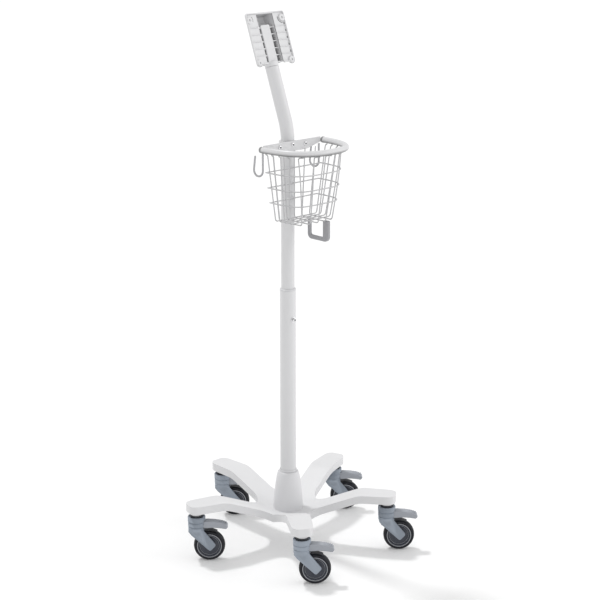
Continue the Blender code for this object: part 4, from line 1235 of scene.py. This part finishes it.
def clamp_saddle():
    """Saddle behind the pole with an ear on each side."""
    ear_front = BAR_REAR + GAP
    ear_rear = -11.5 * MM
    ear_x = 50 * MM
    outer = 20.5 * MM
    inner = UPPER_RADIUS + 0.1 * MM
    start = math.asin(ear_rear / outer)
    mouth = math.radians(-82)
    outline = [(-ear_x, ear_front), (-ear_x, ear_rear)]
    outline += arc(0, 0, outer, math.pi - start, start, 32)
    outline += [(ear_x, ear_rear), (ear_x, ear_front)]
    outline += arc(0, 0, inner, mouth, math.pi - mouth, 32)
    return prism(outline, 976 * MM, 995 * MM)


def ball(radius):
    side = arc(0, 0, radius, -math.pi / 2, math.pi / 2, 12)[1:-1]
    return turned([(0, -radius)] + side + [(0, radius)], 20)


def cable_hook(x):
    """U-shaped hook with a round tip, open towards the rear."""
    front = -19.2 * MM
    rear = 12.5 * MM
    foot = 925.5 * MM
    tip = Vector((x, rear - 6 * MM, 969.5 * MM))
    corners = [
        Vector((x, front, RIM_HEIGHT - RIM_RADIUS)),
        Vector((x, front, foot)),
        Vector((x, rear, foot)),
        tip,
    ]
    path = rounded(corners, 15 * MM, 16)
    round_tip = moved(ball(HOOK_RADIUS), Matrix.Translation(tip))
    return joined([wire(path, (1, 0, 0), HOOK_RADIUS), round_tip])


def hanging_loop():
    """Flat loop of strap under the basket's floor, open at the top."""
    top = BASKET_FLOOR - WIRE_RADIUS + 0.4 * MM
    foot = 767 * MM
    rear = -37 * MM
    front = -104 * MM
    outer = rounded([(rear, top), (rear, foot), (front, foot), (front, top)], 12 * MM, 10)
    window_rear = rear - 6.5 * MM
    window_front = front + 17 * MM
    window_foot = foot + 9 * MM
    window = [
        (window_front, top), (window_front, window_foot),
        (window_rear, window_foot), (window_rear, top),
    ]
    inner = rounded(window, 5 * MM, 6)
    sideways = Matrix.Rotation(math.pi / 2, 4, "Z") @ UPRIGHT
    low = LOOP_X - LOOP_THICKNESS / 2
    return prism(outer + inner, low, low + LOOP_THICKNESS, sideways)


def build_basket():
    place = TO_POLE @ at(BASKET_X, 0, 0)
    piece(
        "clamp_saddle", clamp_saddle(), "paint", "mast", ["clamp_rear"],
        bevel=0.6 * MM, segments=2,
    )
    piece(
        "clamp_bar", clamp_bar(), "paint", "mast", ["basket_bracket"], place,
        bevel=0.6 * MM,
    )
    screws = (
        ("clamp_screw_left", -SCREW_X, SCREW_Z),
        ("bracket_centre_screw", 0, RIM_HEIGHT),
        ("clamp_screw_right", SCREW_X, SCREW_Z),
    )
    head_radius = 4.7 * MM
    head_height = 2.7 * MM
    screw = socket_screw(head_radius, head_height, 2.5 * MM, 2 * MM)
    shade = socket_shade(head_radius, head_height)
    for name, x, z in screws:
        seat = facing_front(x + BASKET_X, BAR_FRONT - 0.1 * MM, z)
        piece(name + "_button", screw, "steel", "mast", [name], seat)
        # The socket's dark hexagon is painted shade in the recess.
        piece(name + "_socket", shade, "dark", "mast", [], seat)
    piece("rim_bar", basket_rim(), "rim", "mast", ["basket_rim"], place, limit=60)
    for word, hook_x in HOOKS.items():
        side = math.copysign(1, hook_x)
        end = at(side * RIM_HALF_WIDTH, RIM_REAR, RIM_HEIGHT)
        end = place @ end @ Matrix.Rotation(-math.pi / 2, 4, "X")
        cap = [f"rim_end_cap_{word}"]
        hook = [f"cable_hook_{word}"]
        piece(f"rim_plug_{word}", end_plug(), "cap", "mast", cap, end, limit=60)
        piece(f"hook_{word}", cable_hook(hook_x), "hook", "mast", hook, place, limit=60)
    wires = basket_wires()
    piece("wire_basket", wires, "wire", "mast", ["basket_wires"], place, limit=60)
    piece(
        "strap_loop", hanging_loop(), "grey", "mast", ["hanging_loop"], place,
        bevel=1 * MM,
    )


# ---- studio

def build_floor():
    """Pale floor that runs past every edge of the view."""
    half = 40.0
    corners = [(-half, -half, 0), (half, -half, 0), (half, half, 0), (-half, half, 0)]
    mesh = closed_mesh("floor", corners, [[0, 1, 2, 3]])
    floor = linked("floor", mesh)
    made, tree, shader, place = surface("pale_floor", (0.92, 0.92, 0.92), 0.8)
    tone = mixed(tree, noise(tree, place, 400 * MM, 2), (0.915, 0.915, 0.915), (0.925, 0.925, 0.925))
    tree.links.new(tone, shader.inputs["Base Color"])
    shader.inputs["Emission Color"].default_value = (1, 1, 1, 1)
    shader.inputs["Emission Strength"].default_value = 0.1
    mesh.materials.append(made)


def soft_sun(name, strength, spread, direction):
    """A distant light that shines along the direction; spread is its width in degrees."""
    light = bpy.data.lights.new(name, "SUN")
    light.energy = strength
    light.angle = math.radians(spread)
    made = linked(name, light)
    made.rotation_euler = Vector(direction).to_track_quat("-Z", "Y").to_euler()


def build_studio():
    world = bpy.data.worlds.new("white_room")
    bpy.context.scene.world = world
    world.use_nodes = True
    background = world.node_tree.nodes["Background"]
    background.inputs["Color"].default_value = (1, 1, 1, 1)
    background.inputs["Strength"].default_value = 0.66
    soft_sun("overhead", 1.1, 6, (0.02, -0.5, -1))
    soft_sun("right_window", 0.75, 50, (-0.72, 0.62, -0.35))
    bpy.context.scene.view_settings.view_transform = "Standard"


def build_camera():
    """Long lens from the front left, a little above the bracket, looking down."""
    camera = linked("camera", bpy.data.cameras.new("camera"))
    camera.location = POLE + Vector((-2.658, -2.801, 1.681))
    camera.rotation_euler = (math.radians(74.56), 0, math.radians(-43.924))
    camera.data.lens = 101.76
    camera.data.clip_end = 50
    bpy.context.scene.camera = camera


def assign_hidden():
    """Nodes that stay as the CAD drew them get the matching procedural finish."""
    kept = {
        "tube_foot_plug": "steel",
        "base_washer": "steel",
        "base_bolt": "steel",
        "upper_tube_glide": "plastic",
    }
    for name, finish in kept.items():
        node = frame["nodes"][name]
        node.data.materials.clear()
        node.data.materials.append(FINISHES[finish])


build_base()
build_casters()
build_pole()
build_bracket()
build_basket()
assign_hidden()
build_floor()
build_studio()
build_camera()
